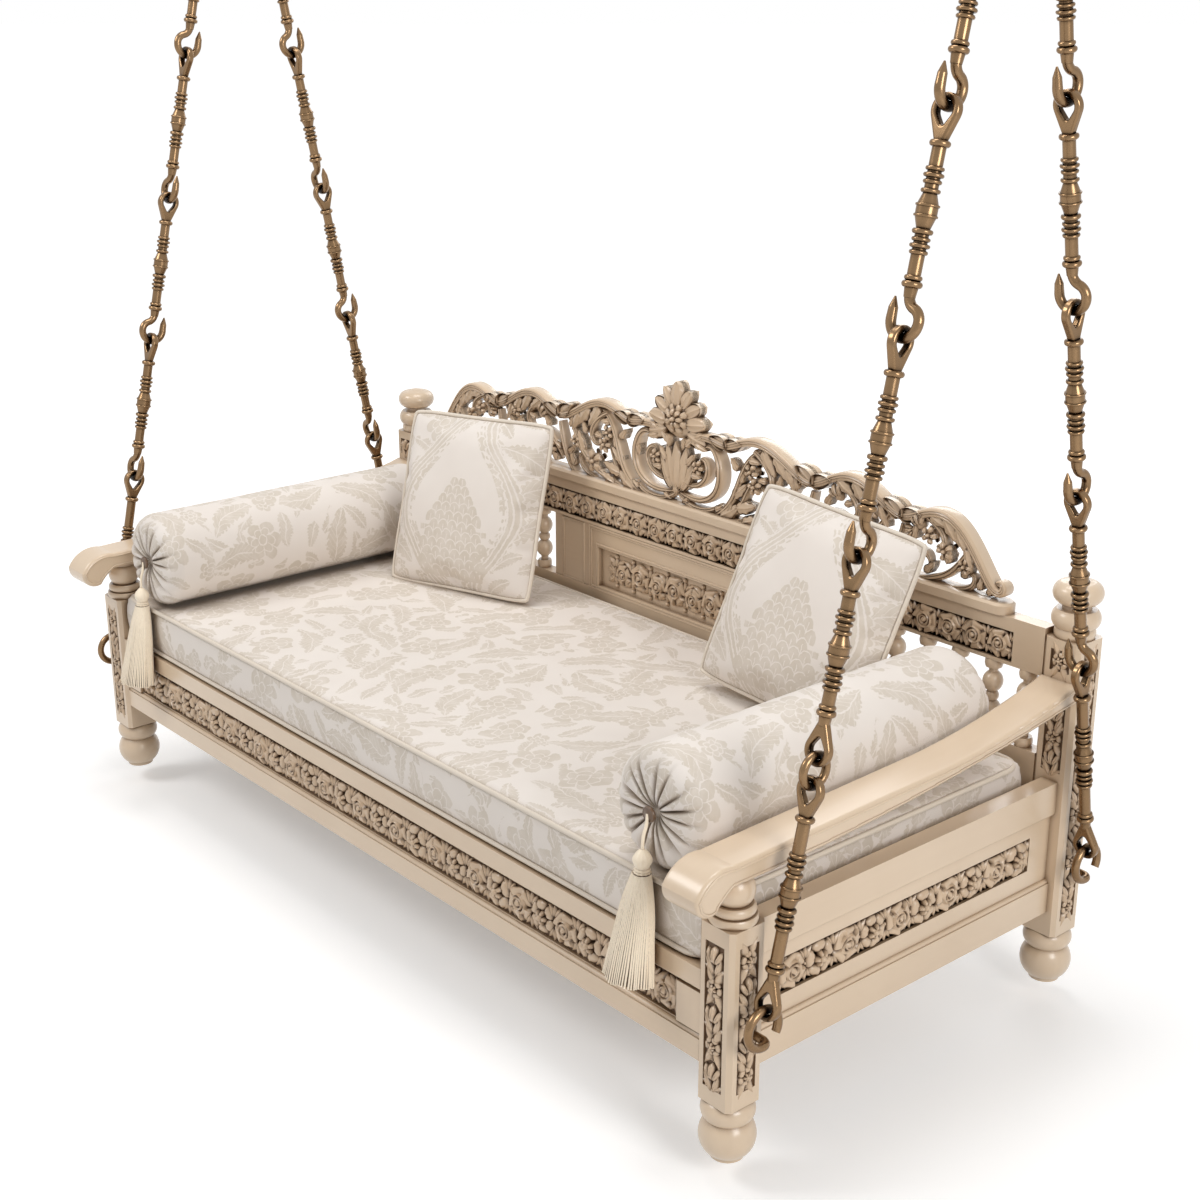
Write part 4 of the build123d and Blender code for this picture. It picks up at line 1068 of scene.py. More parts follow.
def leaf_mesh(length, width, height, curl=0.0, depth=0.003, lobes=0, across=6, steps=8, blunt=0.70):
    """A leaf along +X: a fluted blade with a sunk midrib and, where asked, lobes along its edge."""
    bpy.ops.mesh.primitive_grid_add(x_subdivisions=steps, y_subdivisions=across, size=2)
    blade = bpy.context.object
    for v in blade.data.vertices:
        t = (v.co.x + 1) / 2
        s = v.co.y
        half = width / 2 * (sin(pi * min(1.0, t ** 0.72)) ** blunt) + 0.0006
        if lobes:
            half *= 0.80 + 0.28 * abs(sin(pi * lobes * t ** 1.1))
        rise = height * (0.30 + 0.70 * (1 - abs(s) ** 2.4)) * (0.72 + 0.28 * sin(pi * min(1.0, t + 0.12)))
        flute = 0.30 * height * (0.5 - 0.5 * cos(3 * pi * s)) * (1 - t * 0.45)
        lap = lobes and 0.16 * height * sin(pi * lobes * t ** 1.1) ** 2 * abs(s)
        bend = curl * length * t * t
        swept = 0.10 * abs(s) * half * (lobes > 0)
        v.co = Vector((t * length - swept, s * half + bend, rise - flute + lap))
    return walled(blade, depth + height * 0.2)


def rose_mesh(radius, height):
    """A carved rose: overlapping outer petals round a spiral heart and a bead."""
    lobes, turns = 5, 2.0
    bpy.ops.mesh.primitive_grid_add(x_subdivisions=35, y_subdivisions=13, size=2)
    flower = bpy.context.object
    for v in flower.data.vertices:
        turn = (v.co.x + 1) * pi
        t = (v.co.y + 1) / 2
        lobe = abs(cos(turn * lobes / 2))
        reach = radius * t * (1 - 0.13 * (1 - lobe) * t ** 3)
        share = (turn * lobes / (2 * pi)) % 1.0
        if t > 0.56:
            tilt = 0.42 + 0.42 * share - 0.30 * max(0.0, (t - 0.80) / 0.20) ** 2
            crack = 0.38 * max(0.0, 1 - min(share, 1 - share) * 9)
            z = height * (tilt - crack)
        elif t > 0.15:
            phase = (t * radius / (radius * 0.41 / turns) - turn / (2 * pi)) % 1.0
            z = height * (0.46 + 0.48 * sin(pi * phase) ** 0.8)
        else:
            z = height * (0.72 + 0.38 * sqrt(max(0.0, 1 - (t / 0.15) ** 2)))
        v.co = Vector((cos(turn) * reach, sin(turn) * reach, z))
    edit_all(flower)
    bpy.ops.mesh.remove_doubles(threshold=0.00002)
    bpy.ops.mesh.normals_make_consistent(inside=False)
    leave()
    return walled(flower, height * 0.45)


def gathered(parts):
    """One mesh from copies: parts is a list of (mesh, matrix)."""
    heap = bmesh.new()
    for mesh, place in parts:
        before = len(heap.verts)
        heap.from_mesh(mesh)
        heap.verts.ensure_lookup_table()
        fresh = heap.verts[before:]
        bmesh.ops.transform(heap, matrix=place, verts=fresh)
    whole = bpy.data.meshes.new("gathered")
    heap.to_mesh(whole)
    heap.free()
    return whole


def spun(angle, move=(0, 0, 0), size=1.0, flat=1.0):
    """Turn in the carving's own plane, then move; size scales all, flat scales the relief."""
    scale = Matrix.Diagonal((size, size, size * flat, 1))
    return Matrix.Translation(move) @ Matrix.Rotation(angle, 4, "Z") @ scale


def petal_ring(petal, count, reach, lift=0.0, twist=0.0):
    """A ring of petals, each standing off the middle by reach."""
    turns = [2 * pi * n / count + twist for n in range(count)]
    return [(petal, spun(turn, (cos(turn) * reach, sin(turn) * reach, lift))) for turn in turns]


def make_rosette(petals, radius, height, twist):
    """A round flower: outer petals, an inner ring and a bead."""
    petal = petal_mesh(radius * 0.72, radius * 2 * sin(pi / petals) * 1.18, height, 0.3)
    inner = petal_mesh(radius * 0.50, radius * 0.46, height * 1.05, 0.2, 6, 4)
    parts = petal_ring(petal, petals, radius * 0.30, 0, twist)
    parts += petal_ring(inner, 5, 0, height * 0.35, pi / 5)
    parts.append((dome_mesh(radius * 0.20, height * 0.7, 8, 3), Matrix.Translation((0, 0, height * 0.95))))
    return gathered(parts)


rose = rose_mesh(0.0245, 0.0100)
daisy = make_rosette(6, 0.0235, 0.0085, 0.3)
aster = make_rosette(5, 0.0250, 0.0090, 0.5)
leaf = leaf_mesh(0.021, 0.012, 0.0062, 0.0, 0.003, 0, 4, 5)
long_leaf = leaf_mesh(0.034, 0.013, 0.0065, 0.10)
pearl = dome_mesh(0.0040, 0.0050, 7, 3)


def opening_bud(middle, side, lean, back, apart):
    """A bud of three petals: the middle one between two that lean away from it."""
    return gathered([(petal_mesh(*middle), spun(0, (-back, 0, 0)))] + [
        (petal_mesh(*side), spun(sign * lean, (-back, sign * apart, 0))) for sign in (1, -1)])


bud = opening_bud((0.022, 0.012, 0.0075), (0.020, 0.009, 0.0062), 0.5, 0, 0.001)


def on_plane(origin, across, outward):
    """Matrix that lays a carving on a face: X runs across, Z stands out."""
    across = Vector(across).normalized()
    outward = Vector(outward).normalized()
    upward = outward.cross(across)
    return Matrix((
        (across.x, upward.x, outward.x, origin[0]),
        (across.y, upward.y, outward.y, origin[1]),
        (across.z, upward.z, outward.z, origin[2]),
        (0, 0, 0, 1),
    ))


def ground_board(half_w, half_h, depth):
    """The sunk board behind a carving, with its top at z = 0, all in the second material slot: the dark
    ground that paints the shade between motifs.
    """
    bpy.ops.mesh.primitive_cube_add(size=1)
    board = bpy.context.object
    for v in board.data.vertices:
        v.co = Vector((v.co.x * 2 * half_w, v.co.y * 2 * half_h, (v.co.z - 0.5) * depth))
    for face in board.data.polygons:
        face.material_index = 1
    return only_mesh(board), Matrix.Identity(4)


def carving(name, parts, place, replaces):
    """A carved piece of the seat: motifs in the carved wood, any boards in the dark ground that paints the
    shade between motifs.
    """
    mesh = gathered(parts)
    thing = placed(name, mesh)
    mesh.transform(place)
    smooth(thing, 50)
    gap_shade_faces = [face.index for face in mesh.polygons if face.material_index]
    finish(thing, name, "seat", carved, replaces)
    thing.data.materials.append(gap_shade)
    for number in gap_shade_faces:
        thing.data.polygons[number].material_index = 1


FRIEZE_LEAVES = [  # lean, size, share of the half height, lift
    (1.15, 0.90, 0.26, -0.0022), (-1.15, 0.90, 0.26, -0.0022),
    (0.55, 0.80, 0.30, 0.0), (-0.55, 0.80, 0.30, 0.0), (0.0, 0.70, 0.34, 0.0008),
]


def frieze_parts(half_w, half_h, pitch, flowers, size, seed):
    """A running band of flowers over leaves that fill the gaps between them."""
    parts = []
    count = max(1, round(2 * half_w / pitch))
    step = 2 * half_w / count
    grow = half_h / 0.024
    for n in range(count):
        x = -half_w + step * (n + 0.5)
        turn = noise.noise(Vector((n * 1.7, seed, 0.5))) * 4
        wobble = 1 + 0.07 * noise.noise(Vector((n * 2.9, seed, 4.5)))
        parts.append((flowers[n % len(flowers)], spun(turn, (x, 0, 0.0008), size * wobble)))
    for n in range(count + 1):
        x = -half_w + step * n
        x += 0.006 * ((n == 0) - (n == count))
        for sign in (-1, 1):
            for lean, long, y, lift in FRIEZE_LEAVES:
                spot = (x - 0.0035 * lean * sign, sign * half_h * y, lift)
                parts.append((leaf, spun(sign * pi / 2 + lean, spot, long * grow)))
        parts.append((pearl, spun(0, (x, 0, 0.001), 0.9)))
    return parts


FRIEZE_DEEP = 0.0060


def node_frieze(node_name, across, outward, pitch, flowers, size, seed, lift=0.0):
    """Carves a frieze over the board of one node."""
    low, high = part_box(node_name)
    mid = (low + high) / 2
    across = Vector(across)
    outward = Vector(outward)
    span = high - low
    half_w = abs(span.dot(across)) / 2
    half_h = span.z / 2
    depth = abs(span.dot(outward))
    face = mid + outward * (depth / 2 - FRIEZE_DEEP + lift)
    parts = frieze_parts(half_w - 0.001, half_h - 0.001, pitch, flowers, size, seed)
    parts.append(ground_board(half_w, half_h, depth - FRIEZE_DEEP))
    carving(node_name + "_relief", parts, on_plane(face, across, outward), [node_name])


FRONT = ((1, 0, 0), (0, -1, 0))  # across a face that looks forwards, and out of it
garland = (rose, aster, rose, daisy)
node_frieze("front_frieze", *FRONT, 0.0560, garland, 1.16, 1.0, 0.001)
node_frieze("back_frieze", *FRONT, 0.0510, (rose,), 1.03, 2.0)
node_frieze("right_side_frieze", (0, 1, 0), (1, 0, 0), 0.0560, garland, 1.16, 3.0)
node_frieze("left_side_frieze", (0, -1, 0), (-1, 0, 0), 0.0560, garland, 1.16, 4.0)


def panel_relief():
    """The spray on the back panel: roses packed between leaves, smaller towards both ends."""
    low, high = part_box("back_panel_carving")
    face = Vector(((low.x + high.x) / 2, high.y - 0.001, (low.z + high.z) / 2))
    parts = []
    for n, size in ((0, 1.24), (1, 1.05), (2, 1.18), (3, 0.95)):
        for sign in (-1, 1) if n else (1,):
            parts.append((rose, spun(n * 0.7 + sign, (sign * n * 0.0505, 0.003 * (-1) ** n, 0), size)))
    for n in range(-4, 4):
        x = (n + 0.5) * 0.0495
        for sign in (-1, 1):
            for lean in (-1.1, -0.55, 0.0, 0.55, 1.1):
                spot = (x - 0.006 * lean * sign, sign * (0.008 if abs(lean) < 1 else 0.016), -0.001)
                parts.append((leaf, spun(sign * pi / 2 + lean, spot, 1.0)))
            parts.append((pearl, spun(0, (x, sign * 0.030, 0), 1.2)))
    for sign in (-1, 1):
        for lean in (-1.0, -0.5, 0.0, 0.5, 1.0):
            turn = (0 if sign > 0 else pi) + lean
            spot = (sign * 0.172, 0.012 * sin(lean), 0)
            parts.append((long_leaf, spun(turn, spot, 0.80)))
        for lift in (-0.5, 0.5):
            parts.append((rose, spun(lift, (sign * 0.184, lift * 0.026, -0.001), 0.50)))
    carving("back_panel_relief", parts, on_plane(face, *FRONT), ["back_panel_carving"])


panel_relief()


BEAD_STEPS = [  # shares of the bead's width and of its height, from its outer edge inwards
    (0.18, 1), (0.22, 0), (0.08, -0.5), (0.16, 0), (0.10, 0.3), (0.16, 0), (0.10, -0.8),
]


def bead_frame(name, low_x, high_x, low_h, high_h, wide, proud):
    """A mitred moulding laid round a rectangle on the back panel's face."""
    face_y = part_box("back_panel")[0].y
    bpy.ops.mesh.primitive_plane_add(size=2)
    rim = bpy.context.object
    half_w = (high_x - low_x) / 2000
    half_h = (high_h - low_h) / 2000
    for v in rim.data.vertices:
        v.co.x *= half_w
        v.co.y *= half_h
    edit_all(rim)
    for across, up in BEAD_STEPS:
        bpy.ops.mesh.inset(thickness=wide * across, depth=proud * up)
    bpy.ops.mesh.delete(type="FACE")
    leave()
    mesh = walled(rim, 0.0012)
    middle_h = FOOT_Z + (low_h + high_h) / 2000
    mesh.transform(on_plane(((low_x + high_x) / 2000, face_y, middle_h), *FRONT))
    finish(placed(name, mesh), name, "seat", wood_x)


bead_frame("panel_outer_bead", -250, 250, 394, 530, 0.010, 0.0032)
bead_frame("panel_inner_bead", -229, 229, 397, 494, 0.008, 0.0024)
bead_frame("left_stile_bead", -334, -264, 396, 528, 0.006, 0.0018)
bead_frame("right_stile_bead", 264, 334, 396, 528, 0.006, 0.0018)


def shells(node_name):
    """The corners of each separate solid of a CAD node."""
    mesh = bmesh.new()
    mesh.from_mesh(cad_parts[node_name].data)
    bmesh.ops.remove_doubles(mesh, verts=mesh.verts, dist=1e-6)
    waiting = set(mesh.verts)
    found = []
    for first in mesh.verts:
        if first not in waiting:
            continue
        waiting.discard(first)
        reached = [first]
        for v in reached:
            for edge in v.link_edges:
                other = edge.other_vert(v)
                if other in waiting:
                    waiting.discard(other)
                    reached.append(other)
        found.append([v.co.copy() for v in reached])
    mesh.free()
    return found


def field_parts(half_w, half_h, seed):
    """A stem of flowers, tulips and paired leaves up a tall narrow field."""
    parts = []
    count = max(1, round(2 * half_h / 0.043))
    step = 2 * half_h / count
    for n in range(count):
        y = -half_h + step * (n + 0.5)
        if (n + seed) % 2 == 0:
            parts.append((daisy, spun(n * 0.9, (0, y, 0.0014), 0.62)))
            for sign in (-1, 1):
                for way in (-1, 1):
                    spot = (sign * 0.003, y + way * 0.008, -0.001)
                    parts.append((leaf, spun(way * (pi / 2 - sign * 0.45), spot, 1.20)))
                parts.append((leaf, spun(0 if sign > 0 else pi, (sign * 0.001, y, -0.002), 0.75)))
        else:
            parts.append((bud, spun(pi / 2, (0, y - 0.010, 0.0005), 1.35)))
            for sign in (-1, 1):
                parts.append((long_leaf, spun(pi / 2 - sign * 0.42, (sign * 0.002, y - 0.026, 0), 0.92)))
                parts.append((leaf, spun(pi / 2 - sign * 1.15, (sign * 0.002, y - 0.022, -0.001), 0.95)))
        for sign in (-1, 1):
            parts.append((pearl, spun(0, (sign * half_w * 0.70, y - step / 2, 0), 0.75)))
            parts.append((leaf, spun(pi / 2 + sign * 0.9, (0, y - step / 2 - 0.002, -0.001), 0.60)))
    return parts


FIELD_DEEP = 0.0004
carved_fields = []
for number, corners in enumerate(shells("post_carvings")):
    low, high = span_of(corners)
    mid = (low + high) / 2
    span = high - low
    if span.x < span.y:
        outward = Vector((1 if mid.x > 0 else -1, 0, 0))
        across = Vector((0, 1 if mid.x > 0 else -1, 0))
        half_w = span.y / 2
    else:
        outward = Vector((0, -1, 0))
        across = Vector((1, 0, 0))
        half_w = span.x / 2
    depth = min(span.x, span.y)
    face = mid - outward * (depth / 2 - FIELD_DEEP)
    parts = field_parts(half_w, span.z / 2, number % 2)
    parts.append(ground_board(half_w, span.z / 2, FIELD_DEEP))
    carved_fields.append((gathered(parts), on_plane(face, across, outward)))
carving("post_relief", carved_fields, Matrix.Identity(4), ["post_carvings"])


# ---- rings on the chain links
def chain_beads(side):
    """Turned rings on both sides of every link's barrel."""
    bpy.ops.mesh.primitive_torus_add(
        major_radius=0.0092, minor_radius=0.0030, major_segments=22, minor_segments=8,
    )
    ring = only_mesh(bpy.context.object)
    parts = []
    for row in ("front", "back"):
        links = shells(row + "_" + side + "_chain_links")
        centres = [sum(corners, Vector()) / len(corners) for corners in links]
        centres.sort(key=lambda c: c.z)
        course = (centres[-1] - centres[0]).normalized()
        for corners in links:
            along = [v.dot(course) for v in corners]
            low, high = min(along), max(along)
            end = 0.3 * (high - low)
            core = [v for v, far in zip(corners, along) if low + end < far < high - end]
            flat = [v - course * v.dot(course) for v in core]
            axis = sum(span_of(flat), Vector()) / 2
            wide = max((v - axis).length for v in flat)
            barrel = [v.dot(course) for v, f in zip(core, flat) if (f - axis).length > wide - 0.0008]
            if not barrel or wide > 0.020:
                continue
            middle = axis + course * ((min(barrel) + max(barrel)) / 2)
            turn = course.to_track_quat("Z", "X").to_matrix().to_4x4()
            for offset, size in ((0.0350, 1.0), (0.0430, 1.10), (0.0510, 1.0)):
                for sign in (-1, 1):
                    place = Matrix.Translation(middle + course * offset * sign) @ turn
                    parts.append((ring, place @ Matrix.Diagonal((size, size, 1, 1))))
    thing = placed(side + "_chain_beads", gathered(parts))
    smooth(thing, 60)
    finish(thing, side + "_chain_beads", side + "_chains", brass)


# ---- beads along the arms
def arm_beads(side):
    """A fine bead that follows the outline of each flat side of an arm."""
    mesh = bmesh.new()
    mesh.from_mesh(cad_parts[side + "_arm"].data)
    bmesh.ops.remove_doubles(mesh, verts=mesh.verts, dist=1e-6)
    low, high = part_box(side + "_arm")
    for wall, out in ((low.x, -1), (high.x, 1)):
        faces = {f for f in mesh.faces if all(abs(v.co.x - wall) < 2e-4 for v in f.verts)}
        rim = [e for e in mesh.edges if sum(f in faces for f in e.link_faces) == 1]
        if not rim:
            continue
        nexts = {}
        for e in rim:
            for v in e.verts:
                nexts.setdefault(v, []).append(e.other_vert(v))
        start = rim[0].verts[0]
        line = [start]
        before, here = None, start
        while True:
            options = [v for v in nexts[here] if v is not before]
            if not options or options[0] is start:
                break
            before, here = here, options[0]
            line.append(here)
        points = []
        for v, w in zip(line, line[1:] + line[:1]):
            steps = max(1, int((w.co - v.co).length / 0.012))
            points += [v.co.lerp(w.co, k / steps) for k in range(steps)]
        area = sum(p.y * q.z - q.y * p.z for p, q in zip(points, points[1:] + points[:1]))
        inwards = 0.0012 if area > 0 else -0.0012
        moved = []
        for k, p in enumerate(points):
            along = points[(k + 1) % len(points)] - points[k - 1]
            along.normalize()
            moved.append(Vector((p.x - out * 0.0002, p.y - along.z * inwards, p.z + along.y * inwards)))
        bead = welt(side + "_arm_bead_" + ("left" if out < 0 else "right"), moved, 0.0018, "seat")
        bead.data.materials.clear()
        bead.data.materials.append(wood_y)
    mesh.free()


for side in SIDES:
    chain_beads(side)
for side in SIDES:
    arm_beads(side)


# ---- crest
crest_low, crest_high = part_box("crest")
crest_place = on_plane((0, (crest_low.y + crest_high.y) / 2, FOOT_Z), *FRONT)


def rib_profile(name, half_outline):
    """The cross-section that a scroll is drawn out to. half_outline has the (across, depth) points
    of its right half, from the back round to the front; the left half mirrors it."""
    right = [(a, b) for a, b in half_outline if a]
    outline = half_outline + [(-a, b) for a, b in reversed(right)]
    shape = new_line()
    shape.name = name
    shape.data.dimensions = "2D"
    ring = shape.data.splines.new("POLY")
    ring.points.add(len(outline) - 1)
    for spot, (a, b) in zip(ring.points, outline):
        spot.co = (a, b, 0, 1)
    ring.use_cyclic_u = True
    return shape


band_shape = rib_profile("band_section", [
    (0.007, -0.0135), (0.0078, -0.012), (0.0078, 0.009), (0.0062, 0.0125),
    (0.0035, 0.0135), (0.0022, 0.0118), (0.0, 0.0130),
])
scroll_shape = rib_profile("scroll_section", [
    (0.0055, -0.0115), (0.0066, -0.006), (0.0066, 0.005), (0.0056, 0.0090),
    (0.0040, 0.0105), (0.0028, 0.0092), (0.0012, 0.0120),
])


def drawn(name, runs, section):
    """Scrolls drawn out along lines in the crest's own plane. Each run is a list of
    (across, height, share of full width) points, in millimetres."""
    line = new_line()
    line.data.dimensions = "3D"
    line.data.twist_mode = "Z_UP"
    for run in runs:
        for mirror in (1, -1):
            points = [(mirror * x / 1000, h / 1000, 0, share) for x, h, share in run]
            run_of(line, points, 4 if len(run) > 3 else 3).resolution_u = 5
    line.data.bevel_mode = "OBJECT"
    line.data.bevel_object = section
    line.data.use_fill_caps = True
    return as_mesh(line, name)


contour = [
    (30, 762, 0.8), (70, 768, 0.95), (104, 765, 0.95), (130, 758, 0.95), (160, 771, 1.0),
    (200, 784, 1.05), (240, 779, 1.05), (284, 757, 1.0), (318, 738, 0.95), (345, 733, 0.9),
    (370, 744, 0.95), (404, 762, 1.0), (437, 768, 1.05), (475, 757, 1.05), (514, 733, 1.0),
    (545, 720, 0.9), (570, 727, 0.95), (600, 742, 1.0), (632, 747, 1.05), (664, 735, 1.05),
    (694, 705, 1.0), (718, 672, 1.0), (736, 647, 1.0), (752, 638, 0.95), (763, 647, 0.9),
    (756, 659, 0.75), (745, 654, 0.55),
]
scroll_runs = [
    # the round frame of the middle, its inner curl and the arc under it
    [(10, 648, 0.6), (48, 638, 0.9), (98, 650, 1.15), (120, 690, 1.3), (114, 734, 1.2),
     (92, 757, 1.0), (76, 748, 0.7)],
    [(14, 668, 0.5), (44, 664, 0.8), (74, 678, 1.0), (86, 704, 1.0), (76, 726, 0.8),
     (60, 724, 0.6), (60, 712, 0.4)],
    [(0, 648, 0.6), (26, 628, 0.9), (62, 622, 1.0), (98, 630, 0.9), (116, 646, 0.6)],
    # lyre arms that run up into the first hump
    [(104, 624, 0.8), (142, 646, 1.1), (162, 688, 1.15), (176, 730, 1.0), (196, 758, 0.8), (216, 768, 0.5)],
    [(128, 624, 0.6), (160, 640, 0.9), (180, 672, 0.9), (190, 700, 0.7), (204, 712, 0.5)],
    # first hump
    [(200, 764, 0.8), (230, 750, 1.05), (250, 724, 1.05), (246, 700, 0.9), (230, 692, 0.7), (218, 702, 0.5)],
    [(158, 624, 0.7), (206, 634, 1.0), (250, 652, 1.1), (286, 686, 1.1), (304, 722, 0.9), (322, 738, 0.6)],
    [(232, 624, 0.7), (266, 632, 0.9), (288, 652, 0.9), (282, 672, 0.7), (266, 670, 0.5)],
    [(300, 624, 0.8), (326, 648, 1.05), (338, 686, 1.0), (346, 722, 0.8)],
    # second hump
    [(338, 650, 0.7), (358, 682, 1.05), (388, 698, 1.05), (420, 692, 0.9), (432, 672, 0.7), (420, 660, 0.5)],
    [(396, 752, 0.8), (428, 744, 1.05), (452, 720, 1.0), (450, 700, 0.8), (436, 696, 0.5)],
    [(372, 624, 0.7), (424, 634, 1.0), (470, 656, 1.1), (498, 690, 1.0), (520, 722, 0.8)],
    [(462, 624, 0.7), (494, 632, 0.9), (514, 650, 0.9), (508, 668, 0.7), (494, 664, 0.5)],
    [(514, 624, 0.8), (536, 648, 1.0), (544, 684, 0.9), (548, 710, 0.7)],
    # third hump
    [(538, 640, 0.7), (558, 664, 0.95), (586, 678, 0.95), (610, 668, 0.7), (608, 652, 0.5)],
    [(594, 734, 0.8), (624, 724, 0.95), (642, 700, 0.9), (634, 682, 0.7), (620, 688, 0.5)],
    [(584, 624, 0.7), (632, 634, 1.0), (666, 658, 1.0), (684, 690, 0.9), (692, 706, 0.7)],
    [(656, 624, 0.7), (690, 630, 0.85), (706, 644, 0.8), (698, 660, 0.6), (686, 654, 0.4)],
]
foot_run = [(x, 623, 0.85) for x in (0, 180, 360, 540, 738)]
rim = drawn("crest_rim", [contour], band_shape)
scrolls = drawn("crest_scrolls", scroll_runs + [foot_run], scroll_shape)

acanthus = leaf_mesh(0.050, 0.025, 0.0090, 0.14, 0.012, 3, 8, 12)
small_acanthus = leaf_mesh(0.034, 0.018, 0.0080, 0.12, 0.012, 2, 6, 9)
blade = leaf_mesh(0.060, 0.022, 0.0085, 0.02, 0.012, 0, 6, 10)
slab = leaf_mesh(0.052, 0.036, 0.0100, 0.0, 0.012, 0, 6, 10, 0.42)
clasp = leaf_mesh(0.050, 0.027, 0.0080, -0.06, 0.018, 0, 8, 8)
bloom = gathered(petal_ring(petal_mesh(0.0175, 0.0150, 0.0080, 0.3), 5, 0.003) + [
    (dome_mesh(0.0048, 0.0110, 9, 4), Matrix.Identity(4)),
    (dome_mesh(0.0120, 0.0040, 12, 3), Matrix.Diagonal((1, 1, -1, 1))),
])
tulip = opening_bud((0.026, 0.015, 0.0100), (0.024, 0.012, 0.0085), 0.45, 0.002, 0.003)
great_rose = gathered(
    petal_ring(petal_mesh(0.032, 0.028, 0.0100, 0.35, 10, 6), 8, 0.013, 0, pi / 8)
    + petal_ring(petal_mesh(0.023, 0.020, 0.0105, 0.3, 10, 6), 7, 0.006, 0.005)
    + [(dome_mesh(0.0085, 0.0200, 14, 5), Matrix.Identity(4))]
)
motifs = {"acanthus": acanthus, "small": small_acanthus, "blade": blade, "clasp": clasp, "bloom": bloom,
          "tulip": tulip, "great_rose": great_rose, "slab": slab}

# (across, height, direction it points in degrees, size, motif, how far it stands out of the middle plane)
sprays = [
    # fan in the middle and the leaves round it
    (0, 652, 90, 1.55, "blade", 6), (7, 654, 76, 1.45, "blade", 5), (12, 652, 60, 1.15, "blade", 4),
    (26, 706, 40, 0.9, "small", 5), (40, 690, -8, 0.85, "small", 5), (30, 668, 150, 0.75, "small", 4),
    (20, 742, 30, 0.9, "small", 6), (50, 752, -25, 0.95, "small", 6), (70, 770, 200, 0.9, "small", 6),
    (0, 644, 90, 0.8, "small", 6), (104, 636, 20, 0.7, "small", 4), (112, 722, 250, 0.7, "small", 5),
    # where the rim dips
    (128, 762, 12, 0.95, "clasp", 4), (136, 762, 172, 0.95, "clasp", 4), (343, 738, 18, 1.0, "clasp", 4),
    (349, 736, 152, 1.0, "clasp", 4), (544, 724, 16, 0.95, "clasp", 4), (550, 723, 152, 0.95, "clasp", 4),
    # between the middle and the first hump
    (118, 626, 24, 1.15, "acanthus", 4), (140, 640, 66, 0.9, "small", 5), (150, 672, 30, 0.9, "acanthus", 4),
    (168, 700, 60, 0.8, "small", 5), (160, 720, 120, 0.8, "small", 5), (190, 748, -10, 0.85, "small", 5),
    (160, 652, 6, 1.0, "acanthus", 4), (176, 628, 12, 0.85, "acanthus", 4),
    # first hump
    (224, 772, -62, 1.05, "acanthus", 5), (254, 768, -58, 1.05, "acanthus", 5),
    (284, 752, -70, 0.9, "acanthus", 5), (236, 716, 180, 0.7, "small", 5),
    (262, 712, 60, 0.75, "small", 5), (270, 672, 60, 0.9, "acanthus", 4),
    (222, 640, 60, 0.8, "small", 5), (310, 716, 100, 0.8, "small", 5), (300, 640, 60, 0.9, "small", 4),
    (318, 660, 130, 0.8, "small", 4), (340, 668, 20, 0.8, "small", 4), (352, 640, 40, 0.9, "small", 4),
    # second hump
    (402, 758, -40, 0.9, "acanthus", 5), (440, 762, -62, 1.0, "acanthus", 5),
    (470, 750, -62, 0.95, "acanthus", 5), (498, 732, -70, 0.8, "acanthus", 5),
    (376, 706, 50, 0.8, "small", 5), (456, 668, 60, 0.9, "acanthus", 4),
    (480, 690, 110, 0.75, "small", 5), (392, 640, 30, 0.9, "small", 4), (440, 640, 70, 0.8, "small", 5),
    (500, 640, 50, 0.8, "small", 4), (528, 660, 130, 0.75, "small", 4), (420, 716, 10, 0.7, "small", 5),
    # third hump
    (606, 740, -30, 0.8, "acanthus", 5), (636, 742, -62, 0.95, "acanthus", 5),
    (662, 728, -66, 0.9, "acanthus", 5), (684, 700, -80, 0.75, "acanthus", 5),
    (572, 690, 70, 0.8, "small", 5), (600, 640, 40, 0.8, "small", 4),
    (646, 664, 80, 0.8, "small", 5), (676, 650, 40, 0.85, "small", 4), (712, 636, 70, 0.75, "small", 4),
    (700, 676, 110, 0.65, "small", 4), (566, 640, 30, 0.7, "small", 4), (728, 634, 30, 0.7, "small", 4),
    # flowers, buds and berries
    (240, 660, 0, 1.15, "bloom", 8), (206, 700, 30, 0.85, "bloom", 8), (196, 726, 60, 0.8, "bloom", 8),
    (404, 726, 120, 1.0, "tulip", 7), (426, 668, 0, 0.85, "bloom", 8), (484, 720, 20, 0.8, "bloom", 8),
    (370, 664, 50, 0.75, "bloom", 8), (584, 716, 110, 0.95, "tulip", 7), (572, 706, 200, 0.8, "tulip", 7),
    (606, 704, 0, 0.8, "bloom", 8), (640, 684, 40, 0.85, "bloom", 8), (682, 668, 0, 0.75, "bloom", 8),
    (294, 690, 0, 0.75, "bloom", 8), (58, 706, 0, 0.75, "bloom", 8), (34, 640, 200, 0.6, "small", 4),
    # the finial: stepped leaves behind a great rose, and a bud on top
    (30, 764, -14, 0.95, "slab", 4), (28, 782, 8, 0.92, "slab", 6), (22, 800, 26, 0.84, "slab", 4),
    (12, 812, 54, 0.78, "slab", 6), (0, 812, 90, 0.92, "slab", 8),
    (0, 790, 0, 0.70, "great_rose", 9), (24, 756, 250, 0.7, "small", 8),
]
parts = []
for x, h, turn, size, kind, out in sprays:
    for mirror in (1, -1) if x else (1,):
        angle = radians(turn) if mirror == 1 else pi - radians(turn)
        place = spun(angle, (mirror * x / 1000, h / 1000, out / 1000), size, 1 / size)
        if mirror == -1:
            place = place @ Matrix.Diagonal((1, -1, 1, 1))
        for face in (1, -1):
            parts.append((motifs[kind], Matrix.Diagonal((1, 1, face, 1)) @ place))
leaves = placed("crest_leaves", gathered(parts))

